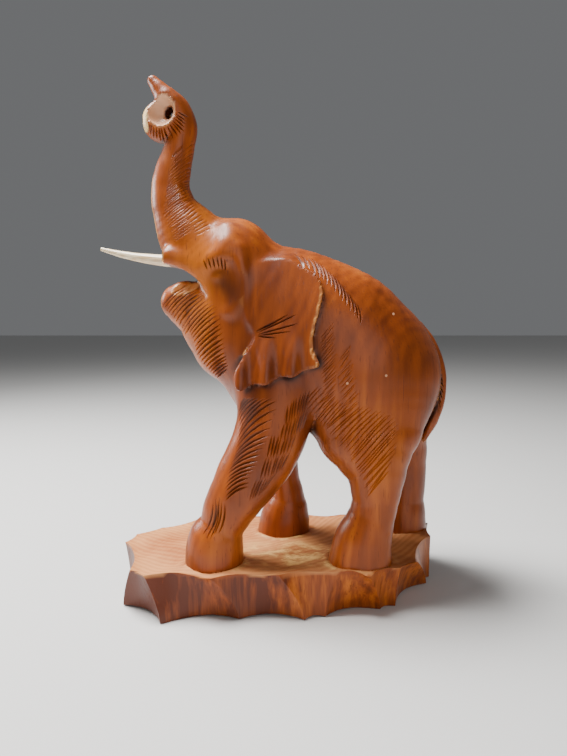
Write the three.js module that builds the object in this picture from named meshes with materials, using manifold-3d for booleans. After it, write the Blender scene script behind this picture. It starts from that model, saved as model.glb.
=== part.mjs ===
// A carved wooden elephant that trumpets with its trunk raised, standing on a rough-hewn base.
// Elephant and base are cut from one block of wood, so they are one solid. The one tusk that is left is a
// separate peg of pale wood in the right socket; the left socket is empty.
// Millimetres, +Z up. The origin is the middle of the base's underside. The elephant looks along -X and
// its left flank faces -Y.

import * as THREE from "three";
import { mergeVertices } from "three/addons/utils/BufferGeometryUtils.js";
import Module from "manifold-3d";

const wasm = await Module();
wasm.setup();

// Driving dimensions
const FIGURE_HEIGHT = 386; // from the top of the base to the tip of the raised trunk
const BASE_THICKNESS = 36;
const LEDGE_AHEAD = 59; // base left standing in front of the leading forefoot
const LEDGE_BEHIND = 3; // base left behind the trailing hind foot
const LEDGE_BESIDE = 11; // base left outside the feet on either side
const FOOT_LIFT = 1.8; // how far the hewn edge of the base stands off the ground between its ridges
const UNDERCUT = 3; // how far the flat seat of the base stays inside that edge
const TUSK_REACH = 64; // how far the tusk stands out of its socket, along the elephant
const TUSK_RISE = 11;
const TUSK_SPLAY = 8;
const TUSK_ROOT_DIAMETER = 10.4;
const TUSK_TIP_DIAMETER = 3;
const SOCKET_DEPTH = 14;
const SOCKET_CLEARANCE = 0.3;

// The figure is drawn on a carver's grid of this many squares from the top of the base to the trunk's tip.
// Its x, y and z below are in squares, with z counted from the top of the base.
const GRID_ROWS = 386;
const SQUARE = FIGURE_HEIGHT / GRID_ROWS;

// How the surface is laid over the figure, in squares
const LATTICE = 3.2;
const SURFACE_TRIANGLES = 4700;

// Shape language: every form is a function of a point that is negative inside the wood.

const mix = (a, b, t) => a + (b - a) * t;
const clamp = (v, low, high) => Math.min(high, Math.max(low, v));
const step = (low, high, v) => {
  const t = clamp((v - low) / (high - low), 0, 1);
  return t * t * (3 - 2 * t);
};

// Joins two forms with a fillet of about `soft`.
function blend(a, b, soft) {
  const h = Math.max(soft - Math.abs(a - b), 0) / soft;
  return Math.min(a, b) - (h * h * soft) / 4;
}

// Cuts form b out of form a with an edge eased by about `soft`.
const carve = (a, b, soft) => -blend(-a, b, soft);

const FAR = 1e3;
const REACH = 16; // forms farther from a point than this have no say there

// A form with an oval section along a curved line. Each station is [x, y, z, half height, half width].
function limb(stations, cap) {
  const line = new THREE.CatmullRomCurve3(stations.map(([x, y, z]) => new THREE.Vector3(x, y, z)));
  const rows = (stations.length - 1) * 3;
  const knots = [];
  for (let i = 0; i <= rows; i++) {
    const t = (i / rows) * (stations.length - 1);
    const k = Math.min(Math.floor(t), stations.length - 2);
    const ease = step(0, 1, t - k) * 0.5 + (t - k) * 0.5;
    const p = line.getPoint(i / rows);
    knots.push({
      p,
      a: mix(stations[k][3], stations[k + 1][3], ease),
      b: mix(stations[k][4], stations[k + 1][4], ease),
    });
  }
  const box = new THREE.Box3();
  for (const { p, a, b } of knots) {
    const r = Math.max(a, b, cap || 0) + REACH;
    box.expandByPoint(new THREE.Vector3(p.x - r, p.y - r, p.z - r));
    box.expandByPoint(new THREE.Vector3(p.x + r, p.y + r, p.z + r));
  }
  const spans = knots.slice(1).map((end, i) => {
    const start = knots[i];
    const along = new THREE.Vector3().subVectors(end.p, start.p);
    const length = along.length();
    along.divideScalar(length);
    const side = new THREE.Vector3(0, 1, 0).addScaledVector(along, -along.y).normalize();
    const up = new THREE.Vector3().crossVectors(along, side);
    return { start, end, along, side, up, length };
  });
  return (x, y, z) => {
    if (x < box.min.x || x > box.max.x || y < box.min.y || y > box.max.y || z < box.min.z || z > box.max.z) return FAR;
    let best = FAR;
    for (const s of spans) {
      const dx = x - s.start.p.x;
      const dy = y - s.start.p.y;
      const dz = z - s.start.p.z;
      const run = dx * s.along.x + dy * s.along.y + dz * s.along.z;
      const t = clamp(run / s.length, 0, 1);
      const a = mix(s.start.a, s.end.a, t);
      const b = mix(s.start.b, s.end.b, t);
      const u = dx * s.up.x + dy * s.up.y + dz * s.up.z;
      const w = dx * s.side.x + dy * s.side.y + dz * s.side.z;
      const over = run - t * s.length;
      const c = cap || Math.min(a, b);
      const size = Math.hypot(u, w, over);
      const k = Math.hypot(u / a, w / b, over / c);
      const d = size < 1e-6 ? -Math.min(a, b) : size * (1 - 1 / k);
      if (d < best) best = d;
    }
    return best;
  };
}

// An egg of three half sizes, tipped by `tilt` radians in the side view.
function egg([cx, cy, cz], [rx, ry, rz], tilt = 0) {
  const c = Math.cos(tilt);
  const s = Math.sin(tilt);
  return (x, y, z) => {
    const px = x - cx;
    const pz = z - cz;
    const dx = px * c + pz * s;
    const dz = -px * s + pz * c;
    const dy = y - cy;
    const size = Math.hypot(dx, dy, dz);
    const k = Math.hypot(dx / rx, dy / ry, dz / rz);
    return size < 1e-6 ? -Math.min(rx, ry, rz) : size * (1 - 1 / k);
  };
}

// Signed distance in the side view to a closed outline, negative inside.
function outline(points, samples) {
  const curve = new THREE.CatmullRomCurve3(points.map(([x, z]) => new THREE.Vector3(x, 0, z)), true, "centripetal");
  const ring = curve.getPoints(samples).slice(0, samples);
  return (x, z) => {
    let best = FAR * FAR;
    let inside = false;
    for (let i = 0, j = ring.length - 1; i < ring.length; j = i++) {
      const a = ring[j];
      const b = ring[i];
      const ex = b.x - a.x;
      const ez = b.z - a.z;
      const t = clamp(((x - a.x) * ex + (z - a.z) * ez) / (ex * ex + ez * ez), 0, 1);
      const dx = x - a.x - t * ex;
      const dz = z - a.z - t * ez;
      best = Math.min(best, dx * dx + dz * dz);
      if (a.z > z !== b.z > z && x < a.x + (ex * (z - a.z)) / ez) inside = !inside;
    }
    return inside ? -Math.sqrt(best) : Math.sqrt(best);
  };
}

// The torso: a barrel, a heavy rump, a chest let down between the forelegs and a thick neck.
const barrel = limb([
  [-22, 0, 168, 52, 37],
  [12, 0, 172, 74, 47],
  [40, 0, 166, 69, 51],
  [60, 0, 153, 63, 52],
]);
const rump = egg([67, 0, 144], [63.5, 52.5, 63]);
const chest = egg([-6, 0, 138], [34, 42, 45]);
const neck = limb([
  [-34, 0, 213, 44, 32],
  [2, 0, 199, 50, 39],
  [30, 0, 180, 50, 43],
]);

function torso(x, y, z) {
  let d = blend(barrel(x, y, z), rump(x, y, z), 8);
  d = blend(d, chest(x, y, z), 12);
  return blend(d, neck(x, y, z), 8);
}

// The head with its brows, sunken temples and cheeks. It is the same on both sides.
const skull = egg([-36, 0, 227.5], [35, 34, 46], 0.15);
const brow = limb([
  [-44, 16, 258, 8, 7],
  [-43, 23, 248, 8.5, 7.5],
  [-48, 25.5, 238, 7, 6.5],
  [-57, 23, 230, 5, 4.5],
]);
const cheekbone = limb([
  [-35, 27, 244, 6, 6],
  [-33, 31, 230, 6, 6],
  [-36, 31, 213, 6, 6],
  [-42, 28, 199, 7, 6],
]);
const eyeHollow = egg([-47, 35, 217.5], [10, 8, 15], 0.3);
const eyeball = egg([-51, 26, 226], [6, 4.5, 4]);
const temple = egg([-14, 64, 234], [24, 32, 30]);

// The trunk, from the face up to its curl. The line runs up the middle of the trunk.
const trunkTube = limb([
  [-54, 0, 231, 33, 29],
  [-74, 0, 256, 27, 23],
  [-88, 0, 280, 18, 17.5],
  [-91.3, 0, 297, 15.2, 15],
  [-89.5, 0, 309, 14.2, 14],
  [-86, 0, 321, 12.6, 13],
  [-82.8, 0, 333, 11.6, 12.5],
  [-82, 0, 345, 12.8, 13.5],
  [-86, 0, 357, 12, 13],
  [-92, 0, 365, 9, 12],
]);
const finger = limb([
  [-90, 0, 362, 9, 12],
  [-97, 0, 371.5, 7, 10],
  [-103.5, 0, 379.5, 4.6, 7],
]);
const curl = egg([-94, 0, 349], [19, 15, 17]);
const scoop = egg([-96.5, 17, 354.5], [12, 12.5, 12.5]);
const nostril = limb([
  [-97, 16, 356, 4.6, 4.6],
  [-88, 4, 353, 4.4, 4.4],
]);

function trunk(x, y, z) {
  const ay = Math.abs(y);
  let d = blend(trunkTube(x, y, z), curl(x, y, z), 1.5);
  d = blend(d, finger(x, y, z), 4);
  d = carve(d, scoop(x, ay, z), 1);
  d = carve(d, nostril(x, ay, z), 1);
  return Math.max(d, -111.5 - x);
}

// The upper lip's edge runs level from the front of the face, then falls to the corner of the mouth.
const LIP_FRONT = { x: -98, z: 236 };
const LIP_CORNER = { x: -58, z: 212 };
const LIP_DROOP = 5;

function lipHeight(x) {
  const t = clamp((x - LIP_FRONT.x) / (LIP_CORNER.x - LIP_FRONT.x), 0, 1.2);
  return LIP_FRONT.z - LIP_DROOP * t - (LIP_FRONT.z - LIP_CORNER.z - LIP_DROOP) * t ** 2.5;
}

const tuskBoss = limb([
  [-66, 17, 233, 9, 7],
  [-80, 17, 237.5, 9, 7.5],
  [-90, 16.5, 240.5, 8.5, 8],
]);
const jaw = limb([
  [-90, 0, 206, 13.5, 11],
  [-81, 0, 204.5, 19, 15],
  [-69, 0, 199, 23, 20],
  [-54, 0, 191, 33, 27],
]);
const throat = egg([-47, 0, 181.5], [31, 30, 40.5]);
const mouthFloor = egg([-77, 19, 222], [21, 11, 8], 0.45);

function head(x, y, z) {
  const ay = Math.abs(y);
  let upper = blend(skull(x, y, z), trunk(x, y, z), 10);
  upper = blend(upper, brow(x, ay, z), 6);
  upper = blend(upper, cheekbone(x, ay, z), 6);
  upper = carve(upper, temple(x, ay, z), 6);
  upper = carve(upper, eyeHollow(x, ay, z), 4);
  upper = blend(upper, eyeball(x, ay, z), 1.5);
  upper = blend(upper, tuskBoss(x, ay, z), 5);
  const underLip = 0.8 * (lipHeight(x) - z);
  upper = -blend(-upper, -Math.min(underLip, LIP_CORNER.x - x), 1.5);
  let lower = blend(jaw(x, y, z), throat(x, y, z), 4);
  lower = carve(lower, mouthFloor(x, ay, z), 2);
  return blend(upper, lower, 4);
}

// The ears hang over the shoulders as flaps that grow out of the temples. Their lower part is fluted.
const earOutline = outline(
  [
    [2, 238], [16, 231], [26, 224], [29.5, 213], [27, 199], [23, 184], [22, 170], [26.5, 157.5], [16, 154],
    [7, 149], [-2, 149], [-13, 143], [-22, 143], [-34, 138], [-38, 148], [-31, 163], [-22, 179], [-27, 196],
    [-24, 216], [-14, 233],
  ],
  60,
);
const EAR_THICKNESS = 7.5;
const FLUTE_PITCH = 20;
const FLUTE_DEPTH = 2.2;
const FLUTES = { x: -14, top: 188, bottom: 150 };

// How far the ear's outer face stands from the middle plane: level with the temple in front, proud of the
// shoulder behind and below.
function earFace(x, z) {
  const flute = Math.cos((2 * Math.PI * (x - FLUTES.x)) / FLUTE_PITCH);
  const fade = step(FLUTES.top, FLUTES.bottom, z);
  return blend(29 + 0.28 * (x + 25) + 0.3 * (220 - z), 57, 8) + FLUTE_DEPTH * fade * flute;
}

function ear(x, y, z) {
  if (x < -52 || x > 42 || z < 124 || z > 252) return FAR;
  const outside = Math.abs(y) - earFace(x, z);
  const slab = Math.max(outside, -EAR_THICKNESS - outside);
  return -blend(-slab, -earOutline(x, z), 1.5);
}

// The ear melts into the temple and stands clear at its free edges.
const earFillet = (x, z) => mix(8, 1.2, step(-30, 5, x + 0.6 * (200 - z)));

// The four legs, striding. Their feet run down into the base as far as FOOT_ROOT.
const FOOT_ROOT = -6;
const leftForeleg = limb([
  [-4, -26, 134, 32, 24],
  [-9, -32, 106, 29, 23],
  [-17, -36, 86, 27.5, 22],
  [-27, -37, 70, 25.5, 21],
  [-36, -38, 55, 22.5, 20],
  [-43, -38, 43, 20.5, 19],
  [-48, -38, 31, 18, 18],
  [-51, -38, 20, 18.5, 19],
  [-54, -38, 8, 21.5, 21.5],
  [-55, -38, -8, 23.5, 23],
]);
const rightForeleg = limb([
  [-8, 26, 120, 30, 22],
  [-4, 31, 90, 18, 19],
  [-1, 33, 66, 13.5, 16],
  [1, 33, 47, 13.5, 16],
  [4, 33, 32, 14.5, 16.5],
  [4, 33, 22, 17, 18],
  [1.5, 33, 8, 22, 21.5],
  [0, 33, -8, 24, 23],
]);
const leftHindleg = limb([
  [67, -20, 120, 49, 30],
  [69, -27, 100, 42, 26],
  [71, -31, 88, 32, 24],
  [73.5, -33.5, 75, 24.3, 21.5],
  [73.5, -35, 60, 20.5, 19],
  [73, -35, 48, 18.3, 18],
  [70.5, -35, 36, 18.3, 18.5],
  [67.5, -35, 26, 20, 20],
  [63.4, -35, 14, 23, 22],
  [61.5, -35, -6, 26, 24],
]);
const rightHindleg = limb([
  [88, 22, 122, 44, 28],
  [99, 32, 98, 31, 24],
  [108, 38, 76, 22.5, 20],
  [111, 40, 60, 19.5, 18.5],
  [112, 41, 42, 18.5, 18],
  [111.5, 42, 26, 18, 18.5],
  [110.5, 42, 12, 21, 21],
  [110, 42, -8, 23, 22.5],
]);

function legs(x, y, z) {
  return Math.min(leftForeleg(x, y, z), rightForeleg(x, y, z), leftHindleg(x, y, z), rightHindleg(x, y, z));
}

const tail = limb([
  [112, 0, 186, 4, 5],
  [121, 0, 174.5, 4.4, 5],
  [128, 0, 160, 4.4, 4.6],
  [132, 0, 145, 4.2, 4.4],
  [132.4, 0, 131, 4, 4.2],
  [130, 0, 119, 4.6, 5.6],
  [125, 0, 106, 5, 6],
  [119, 0, 90, 2, 2.4],
]);

function figure(x, y, z) {
  let d = blend(torso(x, y, z), legs(x, y, z), 10);
  d = blend(d, head(x, y, z), 8);
  d = blend(d, ear(x, y, z), earFillet(x, z));
  d = blend(d, tail(x, y, z), 2);
  return Math.max(d, FOOT_ROOT - z);
}

// Lays a closed skin of triangles over a form, by cutting each cube of a lattice into six tetrahedra.
function skin(form, low, high, pitch) {
  const count = [0, 1, 2].map((i) => Math.ceil((high[i] - low[i]) / pitch) + 1);
  const [nx, ny, nz] = count;
  const value = new Float32Array(nx * ny * nz);
  const id = (i, j, k) => (k * ny + j) * nx + i;
  for (let k = 0; k < nz; k++)
    for (let j = 0; j < ny; j++)
      for (let i = 0; i < nx; i++)
        value[id(i, j, k)] = form(low[0] + i * pitch, low[1] + j * pitch, low[2] + k * pitch) || -1e-6;
  const place = (n) => [
    low[0] + (n % nx) * pitch,
    low[1] + (Math.floor(n / nx) % ny) * pitch,
    low[2] + Math.floor(n / (nx * ny)) * pitch,
  ];
  const positions = [];
  const faces = [];
  const made = new Map();
  const crossing = (a, b) => {
    const key = a < b ? a * 8 * value.length + b : b * 8 * value.length + a;
    let v = made.get(key);
    if (v === undefined) {
      const t = clamp(value[a] / (value[a] - value[b]), 0.08, 0.92);
      const p = place(a);
      const q = place(b);
      v = positions.length / 3;
      positions.push(mix(p[0], q[0], t), mix(p[1], q[1], t), mix(p[2], q[2], t));
      made.set(key, v);
    }
    return v;
  };
  const add = (a, b, c, inside) => {
    const P = (v) => new THREE.Vector3(positions[3 * v], positions[3 * v + 1], positions[3 * v + 2]);
    const [pa, pb, pc] = [P(a), P(b), P(c)];
    const normal = new THREE.Vector3().crossVectors(pb.clone().sub(pa), pc.clone().sub(pa));
    const [ix, iy, iz] = place(inside);
    const outward = normal.dot(pa.sub(new THREE.Vector3(ix, iy, iz))) > 0;
    faces.push(outward ? [a, b, c] : [a, c, b]);
  };
  const corners = [0, 1, 2, 3, 4, 5, 6, 7].map((c) => [c & 1, (c >> 1) & 1, c >> 2]);
  const tets = [
    [0, 1, 3, 7],
    [0, 1, 5, 7],
    [0, 2, 3, 7],
    [0, 2, 6, 7],
    [0, 4, 5, 7],
    [0, 4, 6, 7],
  ];
  for (let k = 0; k < nz - 1; k++)
    for (let j = 0; j < ny - 1; j++)
      for (let i = 0; i < nx - 1; i++) {
        const cube = corners.map(([a, b, c]) => id(i + a, j + b, k + c));
        const wet = cube.filter((n) => value[n] < 0).length;
        if (wet === 0 || wet === 8) continue;
        for (const tet of tets) {
          const n = tet.map((t) => cube[t]);
          const inside = n.filter((v) => value[v] < 0);
          const out = n.filter((v) => value[v] >= 0);
          if (inside.length === 1 || inside.length === 3) {
            const [lone] = inside.length === 1 ? inside : out;
            const others = inside.length === 1 ? out : inside;
            add(...others.map((o) => crossing(lone, o)), inside[0]);
          } else if (inside.length === 2) {
            const [p, q] = inside;
            const [r, s] = out;
            const [a, b, c, d] = [crossing(p, r), crossing(p, s), crossing(q, s), crossing(q, r)];
            add(a, b, c, p);
            add(a, c, d, q);
          }
        }
      }
  return { positions, faces };
}

// Moves the skin's corners onto the form itself, each at most half a lattice step.
function settle({ positions, faces }, form, pitch) {
  const d = 0.4;
  for (let i = 0; i < positions.length; i += 3) {
    const [x, y, z] = positions.slice(i, i + 3);
    const slope = [
      (form(x + d, y, z) - form(x - d, y, z)) / (2 * d),
      (form(x, y + d, z) - form(x, y - d, z)) / (2 * d),
      (form(x, y, z + d) - form(x, y, z - d)) / (2 * d),
    ];
    const steep = Math.max(slope[0] ** 2 + slope[1] ** 2 + slope[2] ** 2, 0.2);
    const push = clamp(-form(x, y, z) / steep, -pitch / 2, pitch / 2);
    for (let k = 0; k < 3; k++) positions[i + k] += push * slope[k];
  }
  return { positions, faces };
}

// Keeps the largest closed shell, so that no pocket is left inside the wood.
function outerShell({ positions, faces }) {
  const parent = Array.from({ length: positions.length / 3 }, (_, i) => i);
  const root = (i) => {
    while (parent[i] !== i) i = parent[i] = parent[parent[i]];
    return i;
  };
  for (const [a, b, c] of faces) {
    parent[root(a)] = root(b);
    parent[root(b)] = root(c);
  }
  const size = new Map();
  for (const [a] of faces) size.set(root(a), (size.get(root(a)) || 0) + 1);
  const [largest] = [...size].sort((a, b) => b[1] - a[1])[0];
  return { positions, faces: faces.filter(([a]) => root(a) === largest) };
}

// Thins a closed skin to about `target` triangles, each time folding away the edge that changes the shape
// least, measured by the planes that meet at it.
function thin({ positions, faces }, target) {
  const points = [];
  for (let i = 0; i < positions.length; i += 3) points.push([positions[i], positions[i + 1], positions[i + 2]]);
  const around = points.map(() => new Set());
  faces.forEach((f, i) => f.forEach((v) => around[v].add(i)));
  const quadric = points.map(() => new Float64Array(10));
  const plane = (f) => {
    const [a, b, c] = f.map((v) => points[v]);
    const u = [b[0] - a[0], b[1] - a[1], b[2] - a[2]];
    const w = [c[0] - a[0], c[1] - a[1], c[2] - a[2]];
    const n = [u[1] * w[2] - u[2] * w[1], u[2] * w[0] - u[0] * w[2], u[0] * w[1] - u[1] * w[0]];
    const area = Math.hypot(...n);
    return { n, area, a };
  };
  for (const f of faces) {
    const { n, area, a } = plane(f);
    if (area < 1e-12) continue;
    const [nx, ny, nz] = n.map((v) => v / area);
    const d = -(nx * a[0] + ny * a[1] + nz * a[2]);
    const terms = [nx * nx, nx * ny, nx * nz, nx * d, ny * ny, ny * nz, ny * d, nz * nz, nz * d, d * d];
    for (const v of f) terms.forEach((t, i) => (quadric[v][i] += t * area));
  }
  const error = (q, [x, y, z]) =>
    q[0] * x * x + 2 * q[1] * x * y + 2 * q[2] * x * z + 2 * q[3] * x + q[4] * y * y + 2 * q[5] * y * z +
    2 * q[6] * y + q[7] * z * z + 2 * q[8] * z + q[9];
  const best = (q, a, b) => {
    const det =
      q[0] * (q[4] * q[7] - q[5] * q[5]) - q[1] * (q[1] * q[7] - q[5] * q[2]) + q[2] * (q[1] * q[5] - q[4] * q[2]);
    const middle = [(a[0] + b[0]) / 2, (a[1] + b[1]) / 2, (a[2] + b[2]) / 2];
    const choices = [a, b, middle];
    if (Math.abs(det) > 1e-3) {
      const s = [-q[3], -q[6], -q[8]];
      const p = [
        (s[0] * (q[4] * q[7] - q[5] * q[5]) - q[1] * (s[1] * q[7] - q[5] * s[2]) + q[2] * (s[1] * q[5] - q[4] * s[2])) / det,
        (q[0] * (s[1] * q[7] - q[5] * s[2]) - s[0] * (q[1] * q[7] - q[5] * q[2]) + q[2] * (q[1] * s[2] - s[1] * q[2])) / det,
        (q[0] * (q[4] * s[2] - s[1] * q[5]) - q[1] * (q[1] * s[2] - s[1] * q[2]) + s[0] * (q[1] * q[5] - q[4] * q[2])) / det,
      ];
      const span = Math.hypot(a[0] - b[0], a[1] - b[1], a[2] - b[2]);
      if (Math.hypot(p[0] - middle[0], p[1] - middle[1], p[2] - middle[2]) < span) choices.unshift(p);
    }
    let chosen = choices[0];
    for (const p of choices) if (error(q, p) < error(q, chosen) - 1e-9) chosen = p;
    return chosen;
  };
  const heap = [];
  const swap = (i, j) => ([heap[i], heap[j]] = [heap[j], heap[i]]);
  const push = (item) => {
    let i = heap.push(item) - 1;
    while (i > 0 && heap[(i - 1) >> 1].cost > heap[i].cost) {
      swap(i, (i - 1) >> 1);
      i = (i - 1) >> 1;
    }
  };
  const pop = () => {
    const top = heap[0];
    const last = heap.pop();
    if (heap.length) {
      heap[0] = last;
      for (let i = 0; ; ) {
        let small = i;
        if (2 * i + 1 < heap.length && heap[2 * i + 1].cost < heap[small].cost) small = 2 * i + 1;
        if (2 * i + 2 < heap.length && heap[2 * i + 2].cost < heap[small].cost) small = 2 * i + 2;
        if (small === i) break;
        swap(i, small);
        i = small;
      }
    }
    return top;
  };
  const version = new Int32Array(points.length);
  const offer = (a, b) => {
    const q = quadric[a].map((v, i) => v + quadric[b][i]);
    const p = best(q, points[a], points[b]);
    const span = Math.hypot(...points[a].map((v, i) => v - points[b][i]));
    push({ cost: Math.max(error(q, p), 0) + 1e-4 * span * span, a, b, p, va: version[a], vb: version[b] });
  };
  const neighbours = (v) => {
    const found = new Set();
    for (const i of around[v]) for (const o of faces[i]) if (o !== v) found.add(o);
    return found;
  };
  points.forEach((_, v) => neighbours(v).forEach((o) => v < o && offer(v, o)));
  const turns = (v, other, p) => {
    for (const i of around[v]) {
      const f = faces[i];
      if (f.includes(other)) continue;
      const before = plane(f);
      const kept = points[v];
      points[v] = p;
      const after = plane(f);
      points[v] = kept;
      const dot = before.n[0] * after.n[0] + before.n[1] * after.n[1] + before.n[2] * after.n[2];
      if (after.area < 1e-3 || dot < 0.3 * before.area * after.area) return true;
    }
    return false;
  };
  let left = faces.length;
  while (left > target && heap.length) {
    const { a, b, p, va, vb } = pop();
    if (version[a] !== va || version[b] !== vb) continue;
    const shared = [...neighbours(a)].filter((v) => neighbours(b).has(v));
    if (shared.length !== 2 || turns(a, b, p) || turns(b, a, p)) continue;
    for (const i of [...around[b]]) {
      const f = faces[i];
      if (f.includes(a)) {
        f.forEach((v) => around[v].delete(i));
        faces[i] = null;
        left--;
      } else {
        f[f.indexOf(b)] = a;
        around[a].add(i);
      }
    }
    around[b].clear();
    points[a] = p;
    quadric[a] = quadric[a].map((v, i) => v + quadric[b][i]);
    version[a]++;
    version[b] = -1;
    neighbours(a).forEach((o) => offer(a, o));
  }
  return { points, faces: faces.filter(Boolean) };
}

// Between three.js geometry and solids that can be joined and cut
function solid(geometry) {
  const bare = geometry.clone();
  bare.deleteAttribute("normal");
  bare.deleteAttribute("uv");
  const merged = mergeVertices(bare, 1e-4);
  const vertProperties = merged.attributes.position.array;
  const made = new wasm.Manifold(
    new wasm.Mesh({ numProp: 3, vertProperties, triVerts: new Uint32Array(merged.index.array) }),
  );
  return made;
}

// Chips that the strokes cut loose at an edge are left out.
function geometryOf(made) {
  const mesh = made.getMesh();
  const positions = Array.from(mesh.vertProperties);
  const faces = Array.from({ length: mesh.triVerts.length / 3 }, (_, i) => [...mesh.triVerts.slice(3 * i, 3 * i + 3)]);
  const shell = outerShell({ positions, faces });
  const geometry = new THREE.BufferGeometry();
  geometry.setAttribute("position", new THREE.Float32BufferAttribute(shell.positions, 3));
  geometry.setIndex(shell.faces.flat());
  geometry.computeVertexNormals();
  return geometry;
}

const onGrid = ([x, y, z]) => [x * SQUARE, y * SQUARE, z * SQUARE + BASE_THICKNESS];

// Finds where the carving's surface lies behind a point of the side view; side is -1 near, 1 far.
function surfacePoint([x, z], side) {
  let outside = 76;
  while (outside > 0 && figure(x, side * outside, z) > 0) outside -= 1.5;
  let inside = outside;
  outside += 1.5;
  for (let i = 0; i < 8; i++) {
    const middle = (inside + outside) / 2;
    if (figure(x, side * middle, z) > 0) outside = middle;
    else inside = middle;
  }
  return new THREE.Vector3(x, side * inside, z);
}

function surfaceNormal({ x, y, z }) {
  const d = 0.5;
  return new THREE.Vector3(
    figure(x + d, y, z) - figure(x - d, y, z),
    figure(x, y + d, z) - figure(x, y - d, z),
    figure(x, y, z + d) - figure(x, y, z - d),
  ).normalize();
}

// One stroke of a V gouge, sunk to `depth` in its middle and running out at both ends.
function stroke(from, to, side, width, depth) {
  const rise = 0.8;
  const stations = [0, 0.3, 0.7, 1].map((t) => {
    const p = surfacePoint([mix(from[0], to[0], t), mix(from[1], to[1], t)], side);
    return { p, n: surfaceNormal(p) };
  });
  const along = stations[3].p.clone().sub(stations[0].p).normalize();
  const tip = ({ p, n }, way) => p.clone().addScaledVector(n, 0.15).addScaledVector(along, way * width * 0.6);
  const points = [tip(stations[0], -1)];
  for (const { p, n } of stations.slice(1, 3)) {
    const across = new THREE.Vector3().crossVectors(n, along).normalize();
    const spread = (width / 2) * (1 + rise / depth);
    points.push(p.clone().addScaledVector(n, rise).addScaledVector(across, spread));
    points.push(p.clone().addScaledVector(n, rise).addScaledVector(across, -spread));
    points.push(p.clone().addScaledVector(n, -depth));
  }
  points.push(tip(stations[3], 1));
  const index = [0, 2, 1, 0, 3, 2, 0, 1, 3, 7, 4, 5, 7, 5, 6, 7, 6, 4];
  for (const [a, b] of [[1, 2], [2, 3], [3, 1]]) index.push(a, b, a + 3, b, b + 3, a + 3);
  const geometry = new THREE.BufferGeometry();
  geometry.setAttribute("position", new THREE.Float32BufferAttribute(points.flatMap((v) => onGrid(v.toArray())), 3));
  geometry.setIndex(index);
  return solid(geometry);
}

// Rows of gouge strokes: each runs from the line of heads to the line of tails, both seen from the side.
const HATCHING = [
  { place: "throat", sides: [-1, 1], count: 11, width: 3, depth: 1.5,
    heads: [[-82, 217], [-73, 213], [-61, 207], [-50, 200], [-48, 190], [-47, 180], [-45, 165], [-44, 155]],
    tails: [[-99, 200], [-92, 193.5], [-84, 187], [-79, 177], [-75, 168], [-71, 159], [-63, 149], [-52, 143]] },
  { place: "nape", sides: [-1, 1], count: 7, width: 2.4, depth: 1.2,
    heads: [[0, 247], [14, 242], [27, 233], [38, 221], [48, 208], [56, 196]],
    tails: [[7, 236], [22, 228], [35, 217], [45, 205], [54, 193], [61, 182]] },
  { place: "front of the left foreleg", sides: [-1], count: 8, width: 3, depth: 1.4,
    heads: [[-30, 132], [-16, 132], [-9, 126], [-15, 115], [-22, 94], [-31, 79]],
    tails: [[-42, 108], [-36, 100], [-36, 84], [-44, 74], [-50, 62], [-56, 50]] },
  { place: "back of the left foreleg", sides: [-1], count: 5, width: 2.6, depth: 1.2,
    heads: [[3, 130], [20, 122], [10, 96], [-8, 72]],
    tails: [[-2, 108], [8, 100], [-8, 78], [-24, 56]] },
  { place: "ear root", sides: [-1, 1], count: 5, width: 2, depth: 1.3,
    heads: [[-21, 183], [-20, 182], [-20, 180], [-20, 179]],
    tails: [[-6, 190], [9, 197], [11, 187], [-6, 178]] },
  { place: "side of the trunk", sides: [-1, 1], count: 5, width: 2, depth: 0.9,
    heads: [[-76, 322], [-76, 298], [-74, 276], [-70, 262]],
    tails: [[-86, 312], [-88, 288], [-86, 266], [-80, 252]] },
];

function gougeStrokes() {
  const cuts = [];
  for (const { sides, count, width, depth, heads, tails } of HATCHING) {
    const line = (points) => new THREE.CatmullRomCurve3(points.map(([x, z]) => new THREE.Vector3(x, 0, z)));
    const [from, to] = [line(heads), line(tails)];
    for (const side of sides)
      for (let i = 0; i < count; i++) {
        const a = from.getPoint(i / (count - 1));
        const b = to.getPoint(i / (count - 1));
        cuts.push(stroke([a.x, a.z], [b.x, b.z], side, width, depth));
      }
  }
  return cuts;
}

function figureSolid() {
  const raw = outerShell(skin(figure, [-120, -72, -10], [146, 72, 394], LATTICE));
  const { points, faces } = thin(settle(raw, figure, LATTICE), SURFACE_TRIANGLES);
  const geometry = new THREE.BufferGeometry();
  geometry.setAttribute("position", new THREE.Float32BufferAttribute(points.flatMap(onGrid), 3));
  geometry.setIndex(faces.flat());
  return solid(geometry);
}

// The base is hewn with a broad gouge: hollow cuts meet in ridges that lean as they run down its side.
// Each ridge is [rim x, rim y, foot x, foot y] in shares of half the base's length and depth.
const RIDGES = [
  [-1.0, 0.02, -0.955, -0.06], [-0.86, -0.79, -0.93, -0.6], [-0.77, -0.9, -0.67, -1.0],
  [-0.395, -0.97, -0.24, -0.9], [-0.02, -0.93, 0.125, -0.92], [0.31, -0.83, 0.24, -0.85],
  [0.48, -0.93, 0.565, -0.69], [0.68, -0.69, 0.66, -0.62], [0.785, -0.54, 0.91, -0.07],
  [0.965, 0.19, 0.95, 0.11], [1.0, 0.6, 0.97, 0.56], [0.86, 0.9, 0.84, 0.9], [0.64, 0.9, 0.67, 0.84],
  [0.42, 1.0, 0.39, 0.96], [0.17, 0.93, 0.2, 0.87], [-0.09, 0.92, -0.12, 0.86], [-0.34, 0.87, -0.31, 0.83],
  [-0.6, 0.76, -0.63, 0.72], [-0.82, 0.53, -0.79, 0.5], [-0.96, 0.28, -0.93, 0.27],
];
const SCALLOP_STEPS = 4; // short flats across each hollow
const SCALLOP_DEPTH = { rim: 0.09, foot: 0.2 }; // hollow's depth over its width
const BASE_LEVELS = 3;

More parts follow.
